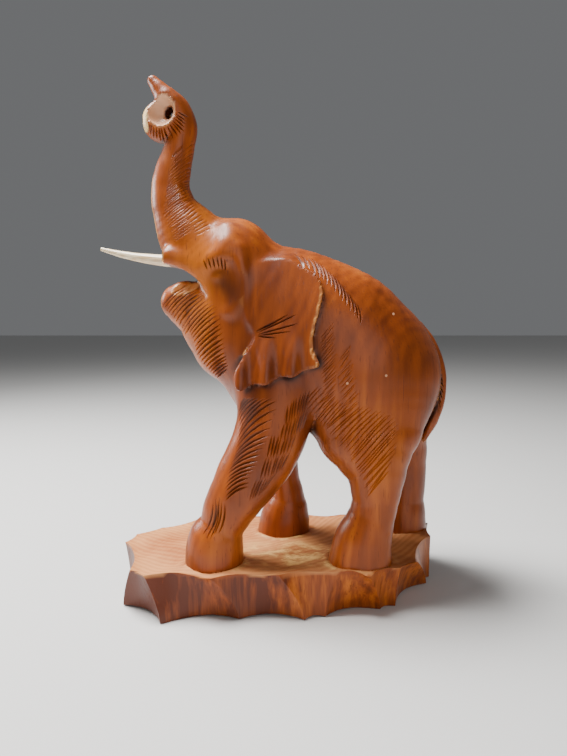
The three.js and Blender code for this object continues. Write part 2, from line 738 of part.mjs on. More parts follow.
const leadingToe = -78.5 * SQUARE;
const trailingHeel = 132.5 * SQUARE;
const nearSide = -61 * SQUARE;
const farSide = 64.5 * SQUARE;
const base = {
  front: leadingToe - LEDGE_AHEAD,
  back: trailingHeel + LEDGE_BEHIND,
  near: nearSide - LEDGE_BESIDE,
  far: farSide + LEDGE_BESIDE,
};
base.length = base.back - base.front;
base.depth = base.far - base.near;
base.x = (base.front + base.back) / 2;
base.y = (base.near + base.far) / 2;

// The top is dressed with a gouge, so it rolls gently and rises towards the rim.
function baseTop(x, y, share) {
  const roll = 1.3 * Math.sin(x / 17 + 1.3) * Math.cos(y / 14 - 0.4) + 0.8 * Math.sin(x / 7.3 - y / 9.1);
  return BASE_THICKNESS + roll + (share > 0.97 ? 0.8 : 0) - 1.2;
}

function baseRing(level) {
  const t = level / BASE_LEVELS;
  const lean = t ** 1.5;
  const at = RIDGES.map(([rx, ry, fx, fy]) => [
    base.x + (base.length / 2) * mix(fx, rx, lean),
    base.y + (base.depth / 2) * mix(fy, ry, lean),
  ]);
  return at.flatMap(([x, y], i) => {
    const [nx, ny] = at[(i + 1) % at.length];
    const width = Math.hypot(nx - x, ny - y);
    const sag = width * mix(SCALLOP_DEPTH.foot, SCALLOP_DEPTH.rim, t);
    const inward = [-(ny - y) / width, (nx - x) / width];
    return Array.from({ length: SCALLOP_STEPS }, (_, k) => {
      const s = k / SCALLOP_STEPS;
      const bow = 4 * s * (1 - s);
      const px = mix(x, nx, s) + inward[0] * sag * bow;
      const py = mix(y, ny, s) + inward[1] * sag * bow;
      const foot = FOOT_LIFT * (0.4 + 0.6 * bow);
      return [px, py, level === BASE_LEVELS ? baseTop(px, py, 1) : mix(foot, BASE_THICKNESS, t)];
    });
  });
}

function hewnBase() {
  const rings = [];
  const edge = baseRing(0);
  rings.push(edge.map(([x, y]) => {
    const reach = Math.hypot(x - base.x, y - base.y);
    const keep = 1 - UNDERCUT / reach;
    return [mix(base.x, x, keep), mix(base.y, y, keep), 0];
  }));
  for (let level = 0; level <= BASE_LEVELS; level++) rings.push(baseRing(level));
  const rim = rings.at(-1);
  for (const share of [0.88, 0.62, 0.32])
    rings.push(rim.map(([x, y]) => {
      const px = mix(base.x, x, share);
      const py = mix(base.y, y, share);
      return [px, py, baseTop(px, py, share)];
    }));
  const around = rim.length;
  const corner = (ring, i) => ring * around + (i % around);
  const index = [];
  for (let ring = 0; ring < rings.length - 1; ring++)
    for (let i = 0; i < around; i++) {
      index.push(corner(ring, i), corner(ring, i + 1), corner(ring + 1, i + 1));
      index.push(corner(ring, i), corner(ring + 1, i + 1), corner(ring + 1, i));
    }
  const points = [...rings.flat(), [base.x, base.y, 0], [base.x, base.y, baseTop(base.x, base.y, 0)]];
  const [under, over] = [points.length - 2, points.length - 1];
  for (let i = 0; i < around; i++) {
    index.push(under, corner(0, i + 1), corner(0, i));
    index.push(over, corner(rings.length - 1, i), corner(rings.length - 1, i + 1));
  }
  const geometry = new THREE.BufferGeometry();
  geometry.setAttribute("position", new THREE.Float32BufferAttribute(points.flat(), 3));
  geometry.setIndex(index);
  return solid(geometry);
}

// The tusk is a curved peg whose root is let into a blind socket. The mouths of the two sockets are mirror
// images; the left one is empty.
const socketMouth = new THREE.Vector3(...onGrid([-93, 18, 240.5]));
const tuskTip = socketMouth.clone().add(new THREE.Vector3(-TUSK_REACH, TUSK_SPLAY, TUSK_RISE));
const tuskBend = socketMouth.clone().add(new THREE.Vector3(-0.55 * TUSK_REACH, 0.35 * TUSK_SPLAY, 0.2 * TUSK_RISE));
const inward = socketMouth.clone().sub(tuskBend).normalize();

// A closed round rod through the given rings of { at, along, radius }.
function rod(rings, sides) {
  const points = [];
  for (const { at, along, radius } of rings) {
    const side = new THREE.Vector3(0, 0, 1).cross(along).normalize();
    const up = new THREE.Vector3().crossVectors(along, side);
    for (let i = 0; i < sides; i++) {
      const turn = (2 * Math.PI * i) / sides;
      const spoke = side.clone().multiplyScalar(Math.cos(turn)).addScaledVector(up, Math.sin(turn));
      points.push(at.clone().addScaledVector(spoke, radius));
    }
  }
  points.push(rings[0].at.clone(), rings.at(-1).at.clone());
  const index = [];
  for (let ring = 0; ring < rings.length - 1; ring++)
    for (let i = 0; i < sides; i++) {
      const [a, b] = [ring * sides + i, ring * sides + ((i + 1) % sides)];
      index.push(a, b, b + sides, a, b + sides, a + sides);
    }
  const [start, end] = [points.length - 2, points.length - 1];
  const last = (rings.length - 1) * sides;
  for (let i = 0; i < sides; i++) {
    index.push(start, (i + 1) % sides, i);
    index.push(end, last + i, last + ((i + 1) % sides));
  }
  const geometry = new THREE.BufferGeometry();
  geometry.setAttribute("position", new THREE.Float32BufferAttribute(points.flatMap((v) => v.toArray()), 3));
  geometry.setIndex(index);
  geometry.computeVertexNormals();
  return geometry;
}

function tuskGeometry() {
  const curve = new THREE.QuadraticBezierCurve3(socketMouth, tuskBend, tuskTip);
  const root = socketMouth.clone().addScaledVector(inward, SOCKET_DEPTH);
  const rings = [{ at: root, along: inward.clone().negate(), radius: TUSK_ROOT_DIAMETER / 2 }];
  for (let i = 0; i <= 8; i++) {
    const t = i / 8;
    const radius = mix(TUSK_ROOT_DIAMETER, TUSK_TIP_DIAMETER, t ** 1.2) / 2;
    rings.push({ at: curve.getPoint(t), along: curve.getTangent(t), radius });
  }
  return rod(rings, 14);
}

// A socket is the tusk's root grown by the clearance on every side and run out past the face.
function socketCut(mirror) {
  const radius = TUSK_ROOT_DIAMETER / 2 + SOCKET_CLEARANCE;
  const ends = [SOCKET_DEPTH + SOCKET_CLEARANCE, -TUSK_ROOT_DIAMETER];
  const geometry = rod(ends.map((run) => ({
    at: socketMouth.clone().addScaledVector(inward, run),
    along: inward.clone().negate(),
    radius,
  })), 14);
  const cut = solid(geometry);
  return mirror ? cut.mirror([0, 1, 0]) : cut;
}

const wood = new THREE.MeshStandardMaterial({ color: 0xa5521f, roughness: 0.42, metalness: 0 });
const paleWood = new THREE.MeshStandardMaterial({ color: 0xe9d3a4, roughness: 0.5, metalness: 0 });

let carving = figureSolid().add(hewnBase());
carving = carving.subtract(socketCut(false)).subtract(socketCut(true));
for (const cut of gougeStrokes()) carving = carving.subtract(cut);

const elephant = new THREE.Mesh(geometryOf(carving), wood);
elephant.name = "carved_elephant";
const tusk = new THREE.Mesh(tuskGeometry(), paleWood);
tusk.name = "right_tusk";

const sculpture = new THREE.Group();
sculpture.add(elephant, tusk);

export default sculpture;
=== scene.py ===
"""Dresses a carved wooden elephant that stands on a base hewn from the same block.

The elephant's rounded forms are described once as functions of a point, in squares of a carver's grid
(one square is a millimetre), laid over with a fine skin, joined to the hewn base and cut with the strokes
of a V gouge.
"""

import logging
import math
from dataclasses import dataclass, field
from enum import Enum
from typing import Callable, Iterable, Sequence, Union

import bpy
import numpy as np
from bpy.types import Material, Node, NodeSocket, Object
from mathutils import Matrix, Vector


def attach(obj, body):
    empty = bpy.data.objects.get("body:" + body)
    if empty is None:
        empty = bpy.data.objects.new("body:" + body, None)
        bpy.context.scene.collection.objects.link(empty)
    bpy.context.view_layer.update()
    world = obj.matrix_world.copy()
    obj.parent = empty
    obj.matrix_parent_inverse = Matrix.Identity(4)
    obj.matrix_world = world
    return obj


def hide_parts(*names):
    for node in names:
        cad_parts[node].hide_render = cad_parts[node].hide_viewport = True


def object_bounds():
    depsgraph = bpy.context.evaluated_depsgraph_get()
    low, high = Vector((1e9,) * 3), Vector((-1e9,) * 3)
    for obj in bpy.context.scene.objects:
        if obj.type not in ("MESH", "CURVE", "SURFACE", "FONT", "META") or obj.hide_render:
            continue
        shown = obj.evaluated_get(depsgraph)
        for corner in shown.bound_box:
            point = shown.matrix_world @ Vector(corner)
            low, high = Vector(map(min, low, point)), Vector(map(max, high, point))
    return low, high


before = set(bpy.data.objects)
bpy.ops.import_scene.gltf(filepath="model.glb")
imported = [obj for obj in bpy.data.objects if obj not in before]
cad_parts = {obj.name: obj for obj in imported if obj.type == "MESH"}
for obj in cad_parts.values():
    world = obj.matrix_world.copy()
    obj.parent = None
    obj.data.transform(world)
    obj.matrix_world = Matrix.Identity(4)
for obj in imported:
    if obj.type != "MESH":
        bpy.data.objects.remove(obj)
CAD_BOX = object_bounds()

LOG = logging.getLogger("elephant")

SQUARE = 0.001
BASE_THICKNESS = 0.036
FAR = 1e3
REACH = 16.0

Array = np.ndarray
Distance = Callable[[Array], Array]
Rows = Sequence[Sequence[float]]
Faces = list[list[int]]
Pair = tuple[float, float]
Triple = tuple[float, float, float]
Quad = tuple[float, float, float, float]


def mix(a: float, b: float, t: float) -> float:
    """Goes from a to b as t goes from 0 to 1."""
    return a + (b - a) * t


def ease(low: float, high: float, v: Array) -> Array:
    """Rises smoothly from 0 at low to 1 at high."""
    t = np.clip((v - low) / (high - low), 0.0, 1.0)
    return t * t * (3.0 - 2.0 * t)


def blend(a: Array, b: Array, soft: Union[float, Array]) -> Array:
    """Joins two forms with a fillet.

    Args:
        a: Distances to the first form, negative inside.
        b: Distances to the second form.
        soft: About how wide the fillet is.

    Returns:
        Distances to both forms together.
    """
    h = np.maximum(soft - np.abs(a - b), 0.0) / soft
    return np.minimum(a, b) - h * h * soft / 4.0


def carve(a: Array, b: Array, soft: float) -> Array:
    """Cuts form b out of form a with an edge eased by about soft."""
    return -blend(-a, b, soft)


def within(v: Array, span: Pair) -> Array:
    """Tells which values lie inside a span."""
    return (v > span[0]) & (v < span[1])


def mirrored(p: Array) -> Array:
    """Folds the left side onto the right, for forms that are alike on both."""
    return np.stack([p[:, 0], np.abs(p[:, 1]), p[:, 2]], axis=1)


def to_metres(points: Array) -> Array:
    """Turns squares of the grid, with z from the top of the base, into metres."""
    return points * SQUARE + np.array([0.0, 0.0, BASE_THICKNESS])


def to_squares(points: Array) -> Array:
    """Turns metres into squares of the grid."""
    return (points - np.array([0.0, 0.0, BASE_THICKNESS])) / SQUARE


def spline(points: Array, count: int, closed: bool = False) -> Array:
    """Samples a centripetal Catmull-Rom curve evenly in its own parameter.

    Args:
        points: The points that it passes through.
        count: How many samples to take.
        closed: Whether it ends where it starts; the last sample then stops one step short.

    Returns:
        The samples, one row each.
    """
    points = np.asarray(points, float)
    n = len(points)
    spans = n if closed else n - 1
    if closed:
        padded = np.vstack([points[-1], points, points[0], points[1]])
    else:
        padded = np.vstack([2 * points[0] - points[1], points, 2 * points[-1] - points[-2]])
    at = np.linspace(0.0, spans, count, endpoint=not closed)
    k = np.minimum(at.astype(int), spans - 1)
    t = (at - k)[:, None]
    p0, p1, p2, p3 = (padded[k + i] for i in range(4))
    gaps = [np.maximum(np.linalg.norm(b - a, axis=1) ** 0.5, 1e-4)[:, None]
            for a, b in ((p0, p1), (p1, p2), (p2, p3))]
    d0, d1, d2 = gaps
    m1 = ((p1 - p0) / d0 - (p2 - p0) / (d0 + d1) + (p2 - p1) / d1) * d1
    m2 = ((p2 - p1) / d1 - (p3 - p1) / (d1 + d2) + (p3 - p2) / d2) * d1
    c2 = -3 * p1 + 3 * p2 - 2 * m1 - m2
    c3 = 2 * p1 - 2 * p2 + m1 + m2
    return p1 + m1 * t + c2 * t ** 2 + c3 * t ** 3


@dataclass
class Limb:
    """A form with an oval section along a curved line.

    Each station is (x, y, z, half height, half width).
    """

    stations: Rows
    knots_per_span: int = 6

    def __post_init__(self) -> None:
        """Works out the knots between the stations and the box that they fill."""
        table = np.asarray(self.stations, float)
        rows = (len(table) - 1) * self.knots_per_span
        self.line = spline(table[:, :3], rows + 1)
        at = np.linspace(0, len(table) - 1, rows + 1)
        k = np.minimum(at.astype(int), len(table) - 2)
        t = at - k
        t = 0.5 * ease(0.0, 1.0, t) + 0.5 * t
        self.half = table[k, 3:] + (table[k + 1, 3:] - table[k, 3:]) * t[:, None]
        reach = self.half.max(axis=1)[:, None] + REACH
        self.low = (self.line - reach).min(axis=0)
        self.high = (self.line + reach).max(axis=0)

    def __call__(self, p: Array) -> Array:
        """Returns the distance of each point, negative inside.

        Args:
            p: The points.

        Returns:
            Their distances, negative inside.
        """
        out = np.full(len(p), FAR)
        near = np.all((p > self.low) & (p < self.high), axis=1)
        q = p[near]
        best = np.full(len(q), FAR)
        for i in range(len(self.line) - 1):
            along = self.line[i + 1] - self.line[i]
            length = float(np.linalg.norm(along))
            along = along / length
            side = np.array([0.0, 1.0, 0.0]) - along * along[1]
            side /= np.linalg.norm(side)
            up = np.cross(along, side)
            d = q - self.line[i]
            run = d @ along
            t = np.clip(run / length, 0.0, 1.0)
            a = mix(self.half[i, 0], self.half[i + 1, 0], t)
            b = mix(self.half[i, 1], self.half[i + 1, 1], t)
            u, w = d @ up, d @ side
            over = run - t * length
            size = np.sqrt(u * u + w * w + over * over) + 1e-9
            k = np.sqrt((u / a) ** 2 + (w / b) ** 2 + (over / np.minimum(a, b)) ** 2) + 1e-9
            best = np.minimum(best, size * (1.0 - 1.0 / k))
        out[near] = best
        return out


@dataclass
class Egg:
    """An egg of three half sizes, tipped by `tilt` radians in the side view."""

    centre: Sequence[float]
    radii: Sequence[float]
    tilt: float = 0.0

    def __call__(self, p: Array) -> Array:
        """Returns the distance of each point, negative inside.

        Args:
            p: The points.

        Returns:
            Their distances, negative inside.
        """
        c, s = math.cos(self.tilt), math.sin(self.tilt)
        d = p - np.asarray(self.centre, float)
        turned = np.stack([d[:, 0] * c + d[:, 2] * s, d[:, 1], -d[:, 0] * s + d[:, 2] * c], axis=1)
        size = np.linalg.norm(turned, axis=1) + 1e-9
        k = np.linalg.norm(turned / np.asarray(self.radii, float), axis=1) + 1e-9
        return size * (1.0 - 1.0 / k)


def limb(*stations: Sequence[float]) -> Limb:
    """Makes a dataclass field that starts as a limb through these stations."""
    return field(default_factory=lambda: Limb(stations))


def egg(centre: Sequence[float], radii: Sequence[float], tilt: float = 0.0) -> Egg:
    """Makes a dataclass field that starts as this egg."""
    return field(default_factory=lambda: Egg(centre, radii, tilt))


@dataclass
class Outline:
    """A closed outline in the side view, given by (x, z) points."""

    points: Rows
    samples: int = 90

    def __post_init__(self) -> None:
        """Samples the outline."""
        self.ring = spline(np.asarray(self.points, float), self.samples, closed=True)

    def __call__(self, x: Array, z: Array) -> Array:
        """Returns the distance of each point to the outline, negative inside.

        Args:
            x: Where the points are along the elephant.
            z: How high they are.

        Returns:
            Their distances, negative inside.
        """
        best = np.full(len(x), FAR * FAR)
        inside = np.zeros(len(x), bool)
        for (ax, az), (bx, bz) in zip(np.roll(self.ring, 1, axis=0), self.ring):
            ex, ez = bx - ax, bz - az
            t = np.clip(((x - ax) * ex + (z - az) * ez) / (ex * ex + ez * ez), 0.0, 1.0)
            best = np.minimum(best, (x - ax - t * ex) ** 2 + (z - az - t * ez) ** 2)
            if az != bz:
                crosses = ((az > z) != (bz > z)) & (x < ax + ex * (z - az) / ez)
                inside ^= crosses
        return np.where(inside, -1.0, 1.0) * np.sqrt(best)


@dataclass
class Torso:
    """A barrel, a heavy rump, a chest let down between the forelegs, a thick neck, and the tail."""

    barrel: Limb = limb(
        (-22, 0, 168, 52, 37), (12, 0, 172, 74, 47), (40, 0, 166, 69, 51), (60, 0, 153, 63, 52))
    rump: Egg = egg((67, 0, 144), (63.5, 52.5, 63))
    chest: Egg = egg((-6, 0, 138), (34, 42, 45))
    neck: Limb = limb(
        (-34, 0, 213, 44, 32), (2, 0, 199, 50, 39), (30, 0, 180, 50, 43))
    tail: Limb = limb(
        (112, 0, 186, 4, 5), (121, 0, 174.5, 4.4, 5), (128, 0, 160, 4.4, 4.6), (132, 0, 145, 4.2, 4.4),
        (132.4, 0, 131, 4, 4.2), (130, 0, 119, 4.6, 5.6), (125, 0, 106, 5, 6), (119, 0, 90, 2, 2.4))

    def body(self, p: Array) -> Array:
        """Returns distances to the torso without its tail.

        Args:
            p: The points.

        Returns:
            Their distances, negative inside.
        """
        d = blend(self.barrel(p), self.rump(p), soft=8)
        d = blend(d, self.chest(p), soft=12)
        return blend(d, self.neck(p), soft=8)


@dataclass
class Legs:
    """The four striding legs. Their feet run down into the base as far as `root`."""

    root: float = -6.0
    left_fore: Limb = limb(
        (-4, -26, 134, 32, 24), (-9, -32, 106, 29, 23), (-17, -36, 86, 27.5, 22), (-27, -37, 70, 25.5, 21),
        (-36, -38, 55, 22.5, 20), (-43, -38, 43, 20.5, 19), (-48, -38, 31, 18, 18),
        (-51, -38, 23, 17.8, 18.3),
        (-54, -38, 17.5, 21.6, 21.2), (-55, -38, 8, 23, 22.6), (-55, -38, -8, 23.5, 23))
    right_fore: Limb = limb(
        (-8, 26, 120, 30, 22), (-4, 31, 90, 18, 19), (-1, 33, 66, 13.5, 16), (1, 33, 47, 13.5, 16),
        (4, 33, 32, 14.5, 16.5), (4, 33, 24, 16, 17.3), (2.5, 33, 18, 19.8, 20),
        (1, 33, 8, 22.6, 22), (0, 33, -8, 24, 23))
    left_hind: Limb = limb(
        (67, -20, 120, 49, 30), (69, -27, 100, 42, 26), (71, -31, 88, 32, 24),
        (73.5, -33.5, 75, 24.3, 21.5),
        (73.5, -35, 60, 20.5, 19), (73, -35, 48, 18.3, 18), (70.5, -35, 36, 18.3, 18.5),
        (67.5, -35, 26, 20, 20), (63.4, -35, 14, 23, 22), (61.5, -35, -6, 26, 24))
    right_hind: Limb = limb(
        (88, 22, 122, 44, 28), (99, 32, 98, 31, 24), (108, 38, 76, 22.5, 20), (111, 40, 60, 19.5, 18.5),
        (112, 41, 42, 18.5, 18), (111.5, 42, 26, 18, 18.5), (110.5, 42, 12, 21, 21),
        (110, 42, -8, 23, 22.5))

    def __call__(self, p: Array) -> Array:
        """Returns distances to the nearest leg."""
        legs = [self.left_fore(p), self.right_fore(p), self.left_hind(p), self.right_hind(p)]
        return np.minimum.reduce(legs)

    def feet(self) -> list[Quad]:
        """Returns each sole as (x, y, half length, half width).

        Returns:
            The four soles.
        """
        soles = []
        for leg in (self.left_fore, self.right_fore, self.left_hind, self.right_hind):
            x, y, _, a, b = leg.stations[-1]
            soles.append((x, y, a, b))
        return soles

    def away(self, x: Array, y: Array, gap: float) -> list[Array]:
        """Tells how far points lie outside each sole grown by a gap, in half sizes of the sole."""
        return [np.hypot((x - fx) / (a + gap), (y - fy) / (b + gap)) - 1 for fx, fy, a, b in self.feet()]


@dataclass
class Trunk:
    """The raised trunk with the scooped tip and the finger above it."""

    tube: Limb = limb(
        (-54, 0, 231, 33, 29), (-74, 0, 256, 27, 23), (-88, 0, 280, 18, 17.5), (-91.3, 0, 297, 15.2, 15),
        (-89.5, 0, 309, 14.2, 14), (-86, 0, 321, 12.6, 13), (-82.8, 0, 333, 11.6, 12.5),
        (-82, 0, 345, 12.8, 13.5), (-86, 0, 357, 12, 13), (-92, 0, 365, 9, 12))
    finger: Limb = limb(
        (-90, 0, 362, 9, 12), (-97, 0, 371.5, 7, 10), (-103.5, 0, 379.5, 4.6, 7))
    curl: Egg = egg((-94, 0, 349), (19, 15, 17))
    scoop: Egg = egg((-96.5, 17, 354.5), (12, 12.5, 12.5))
    nostril: Limb = limb(
        (-97, 16, 356, 4.6, 4.6), (-88, 4, 353, 4.4, 4.4))
    front: float = -111.5

    def __call__(self, p: Array) -> Array:
        """Returns distances to the trunk.

        Args:
            p: The points.

        Returns:
            Their distances, negative inside.
        """
        m = mirrored(p)
        d = blend(self.tube(p), self.curl(p), soft=1.5)
        d = blend(d, self.finger(p), soft=4)
        d = carve(d, self.scoop(m), soft=1)
        d = carve(d, self.nostril(m), soft=1)
        return np.maximum(d, self.front - p[:, 0])


@dataclass
class Head:
    """Skull, brows, sunken eyes, tusk bosses, the open mouth with its lower lip, and the throat."""

    trunk: Trunk = field(default_factory=Trunk)
    skull: Egg = egg((-36, 0, 227.5), (35, 34, 46), 0.15)
    brow: Limb = limb(
        (-45, 16, 259, 8.5, 7.5), (-43, 24.5, 249, 9, 8), (-47, 27, 239, 8, 7), (-57, 24, 231, 5.5, 5))
    cheekbone: Limb = limb(
        (-35, 27, 244, 6, 6), (-33, 31, 230, 6, 6), (-36, 31, 213, 6, 6), (-42, 28, 199, 7, 6))
    hollow: Egg = egg((-49, 34.5, 218), (14, 8, 16), 0.45)
    eyeball: Egg = egg((-50, 25, 225), (5, 3.5, 3))
    temple: Egg = egg((-14, 64, 234), (24, 32, 30))
    boss: Limb = limb(
        (-66, 17, 233, 9, 7), (-80, 17, 237.5, 9, 7.5), (-90, 16.5, 240.5, 8.5, 8))
    jaw: Limb = limb(
        (-90, 0, 206, 13.5, 11), (-81, 0, 204.5, 19, 15), (-69, 0, 199, 23, 20), (-54, 0, 191, 33, 27))
    throat: Egg = egg((-47, 0, 181.5), (31, 30, 40.5))
    mouth_floor: Egg = egg((-78, 18, 222.5), (21, 12, 9), 0.45)
    lip_front: Pair = (-98.0, 236.0)
    lip_corner: Pair = (-58.0, 212.0)
    lip_droop: float = 5.0

    def lip_height(self, x: Array) -> Array:
        """Returns how high the upper lip's edge is: level in front, then falling to the corner.

        Args:
            x: Where the points are along the elephant.

        Returns:
            The heights.
        """
        t = np.clip((x - self.lip_front[0]) / (self.lip_corner[0] - self.lip_front[0]), 0.0, 1.2)
        drop = self.lip_front[1] - self.lip_corner[1] - self.lip_droop
        return self.lip_front[1] - self.lip_droop * t - drop * t ** 2.5

    def __call__(self, p: Array) -> Array:
        """Returns distances to the head.

        Args:
            p: The points.

        Returns:
            Their distances, negative inside.
        """
        m = mirrored(p)
        upper = blend(self.skull(p), self.trunk(p), soft=10)
        upper = blend(upper, self.brow(m), soft=6)
        upper = blend(upper, self.cheekbone(m), soft=6)
        upper = carve(upper, self.temple(m), soft=6)
        upper = carve(upper, self.hollow(m), soft=12)
        upper = blend(upper, self.eyeball(m), soft=4)
        upper = blend(upper, self.boss(m), soft=5)
        under_lip = 0.8 * (self.lip_height(p[:, 0]) - p[:, 2])
        gap = np.minimum(under_lip, self.lip_corner[0] - p[:, 0])
        upper = -blend(-upper, -gap, 1.5)
        lower = blend(self.jaw(p), self.throat(p), soft=4)
        lower = carve(lower, self.mouth_floor(m), soft=0.6)
        return blend(upper, lower, 4)


@dataclass
class Ears:
    """Two flaps that grow out of the temples, hang over the shoulders and are fluted below."""

    outline: Outline = field(default_factory=lambda: Outline([
        (2, 238), (16, 231), (26, 224), (29.5, 213), (27, 199), (23, 184), (22, 170), (26.5, 157.5),
        (16, 154),
        (7, 149), (-2, 149), (-13, 143), (-22, 143), (-34, 138), (-38, 148), (-31, 163), (-22, 179),
        (-27, 196), (-24, 216), (-14, 233)]))
    thickness: float = 7.5
    flute_pitch: float = 20.0
    flute_depth: float = 2.8
    flute_middle: float = -14.0
    flute_top: float = 188.0
    flute_bottom: float = 150.0
    stand: float = 29.0
    flare: Pair = (0.28, 0.3)
    hinge: Pair = (-25.0, 220.0)
    widest: float = 57.0
    near_x: Pair = (-56.0, 46.0)
    near_z: Pair = (120.0, 256.0)

    def face(self, x: Array, z: Array) -> Array:
        """Returns how far the outer face stands from the middle plane.

        Args:
            x: Where the points are along the elephant.
            z: How high they are.

        Returns:
            The distances from the middle plane.
        """
        flute = np.cos(2 * math.pi * (x - self.flute_middle) / self.flute_pitch)
        fade = ease(self.flute_top, self.flute_bottom, z)
        slope = self.stand + self.flare[0] * (x - self.hinge[0]) + self.flare[1] * (self.hinge[1] - z)
        return blend(slope, np.full_like(slope, self.widest), 8) + self.flute_depth * fade * flute

    def __call__(self, p: Array) -> Array:
        """Returns distances to both ears.

        Args:
            p: The points.

        Returns:
            Their distances, negative inside.
        """
        out = np.full(len(p), FAR)
        x, z = p[:, 0], p[:, 2]
        near = within(x, self.near_x) & within(z, self.near_z)
        q = p[near]
        outside = np.abs(q[:, 1]) - self.face(q[:, 0], q[:, 2])
        slab = np.maximum(outside, -self.thickness - outside)
        out[near] = -blend(-slab, -self.outline(q[:, 0], q[:, 2]), soft=1.5)
        return out

    def fillet(self, x: Array, z: Array) -> Array:
        """Returns how softly the ear meets the head: it melts in front and is free behind and below."""
        return mix(10.0, 1.2, ease(-26, 4, x + 0.6 * (200 - z)))


@dataclass
class Figure:
    """The whole elephant as one form. Its surface is found in strides from outside, then by halving."""

    torso: Torso = field(default_factory=Torso)
    legs: Legs = field(default_factory=Legs)
    head: Head = field(default_factory=Head)
    ears: Ears = field(default_factory=Ears)
    widest: float = 76.0
    stride: float = 1.5
    strides: int = 52
    halvings: int = 8

    def __call__(self, p: Array) -> Array:
        """Returns the distance of each point, negative inside the wood.

        Args:
            p: The points.

        Returns:
            Their distances, negative inside.
        """
        d = blend(self.torso.body(p), self.legs(p), soft=10)
        d = blend(d, self.head(p), soft=8)
        d = blend(d, self.ears(p), self.ears.fillet(p[:, 0], p[:, 2]))
        d = blend(d, self.torso.tail(p), soft=2)
        return np.maximum(d, self.legs.root - p[:, 2])

    def slope(self, p: Array, step: float = 0.35) -> Array:
        """Returns the gradient of the distance at each point.

        Args:
            p: The points.
            step: How far apart the form is sampled.

        Returns:
            The gradients.
        """
        columns = []
        for axis in range(3):
            shift = np.zeros(3)
            shift[axis] = step
            columns.append((self(p + shift) - self(p - shift)) / (2 * step))
        return np.stack(columns, axis=1)

    def normal(self, p: Array) -> Array:
        """Returns the direction out of the wood at each point."""
        g = self.slope(p)
        return g / np.maximum(np.linalg.norm(g, axis=1, keepdims=True), 1e-9)

    def surface(self, x: Array, z: Array, side: Array) -> Array:
        """Finds where the surface lies behind points of the side view.

        Args:
            x: Where the points are along the elephant.
            z: How high they are.
            side: -1 for the left side, 1 for the right.

        Returns:
            The points on the surface.
        """
        outside = np.full(len(x), self.widest)
        open_air = np.ones(len(x), bool)
        for _ in range(self.strides):
            p = np.stack([x, side * outside, z], axis=1)
            open_air &= self(p) > 0
            outside = np.where(open_air, outside - self.stride, outside)
        low, high = outside, outside + self.stride
        for _ in range(self.halvings):
            middle = (low + high) / 2
            free = self(np.stack([x, side * middle, z], axis=1)) > 0
            high = np.where(free, middle, high)
            low = np.where(free, low, middle)
        return np.stack([x, side * low, z], axis=1)


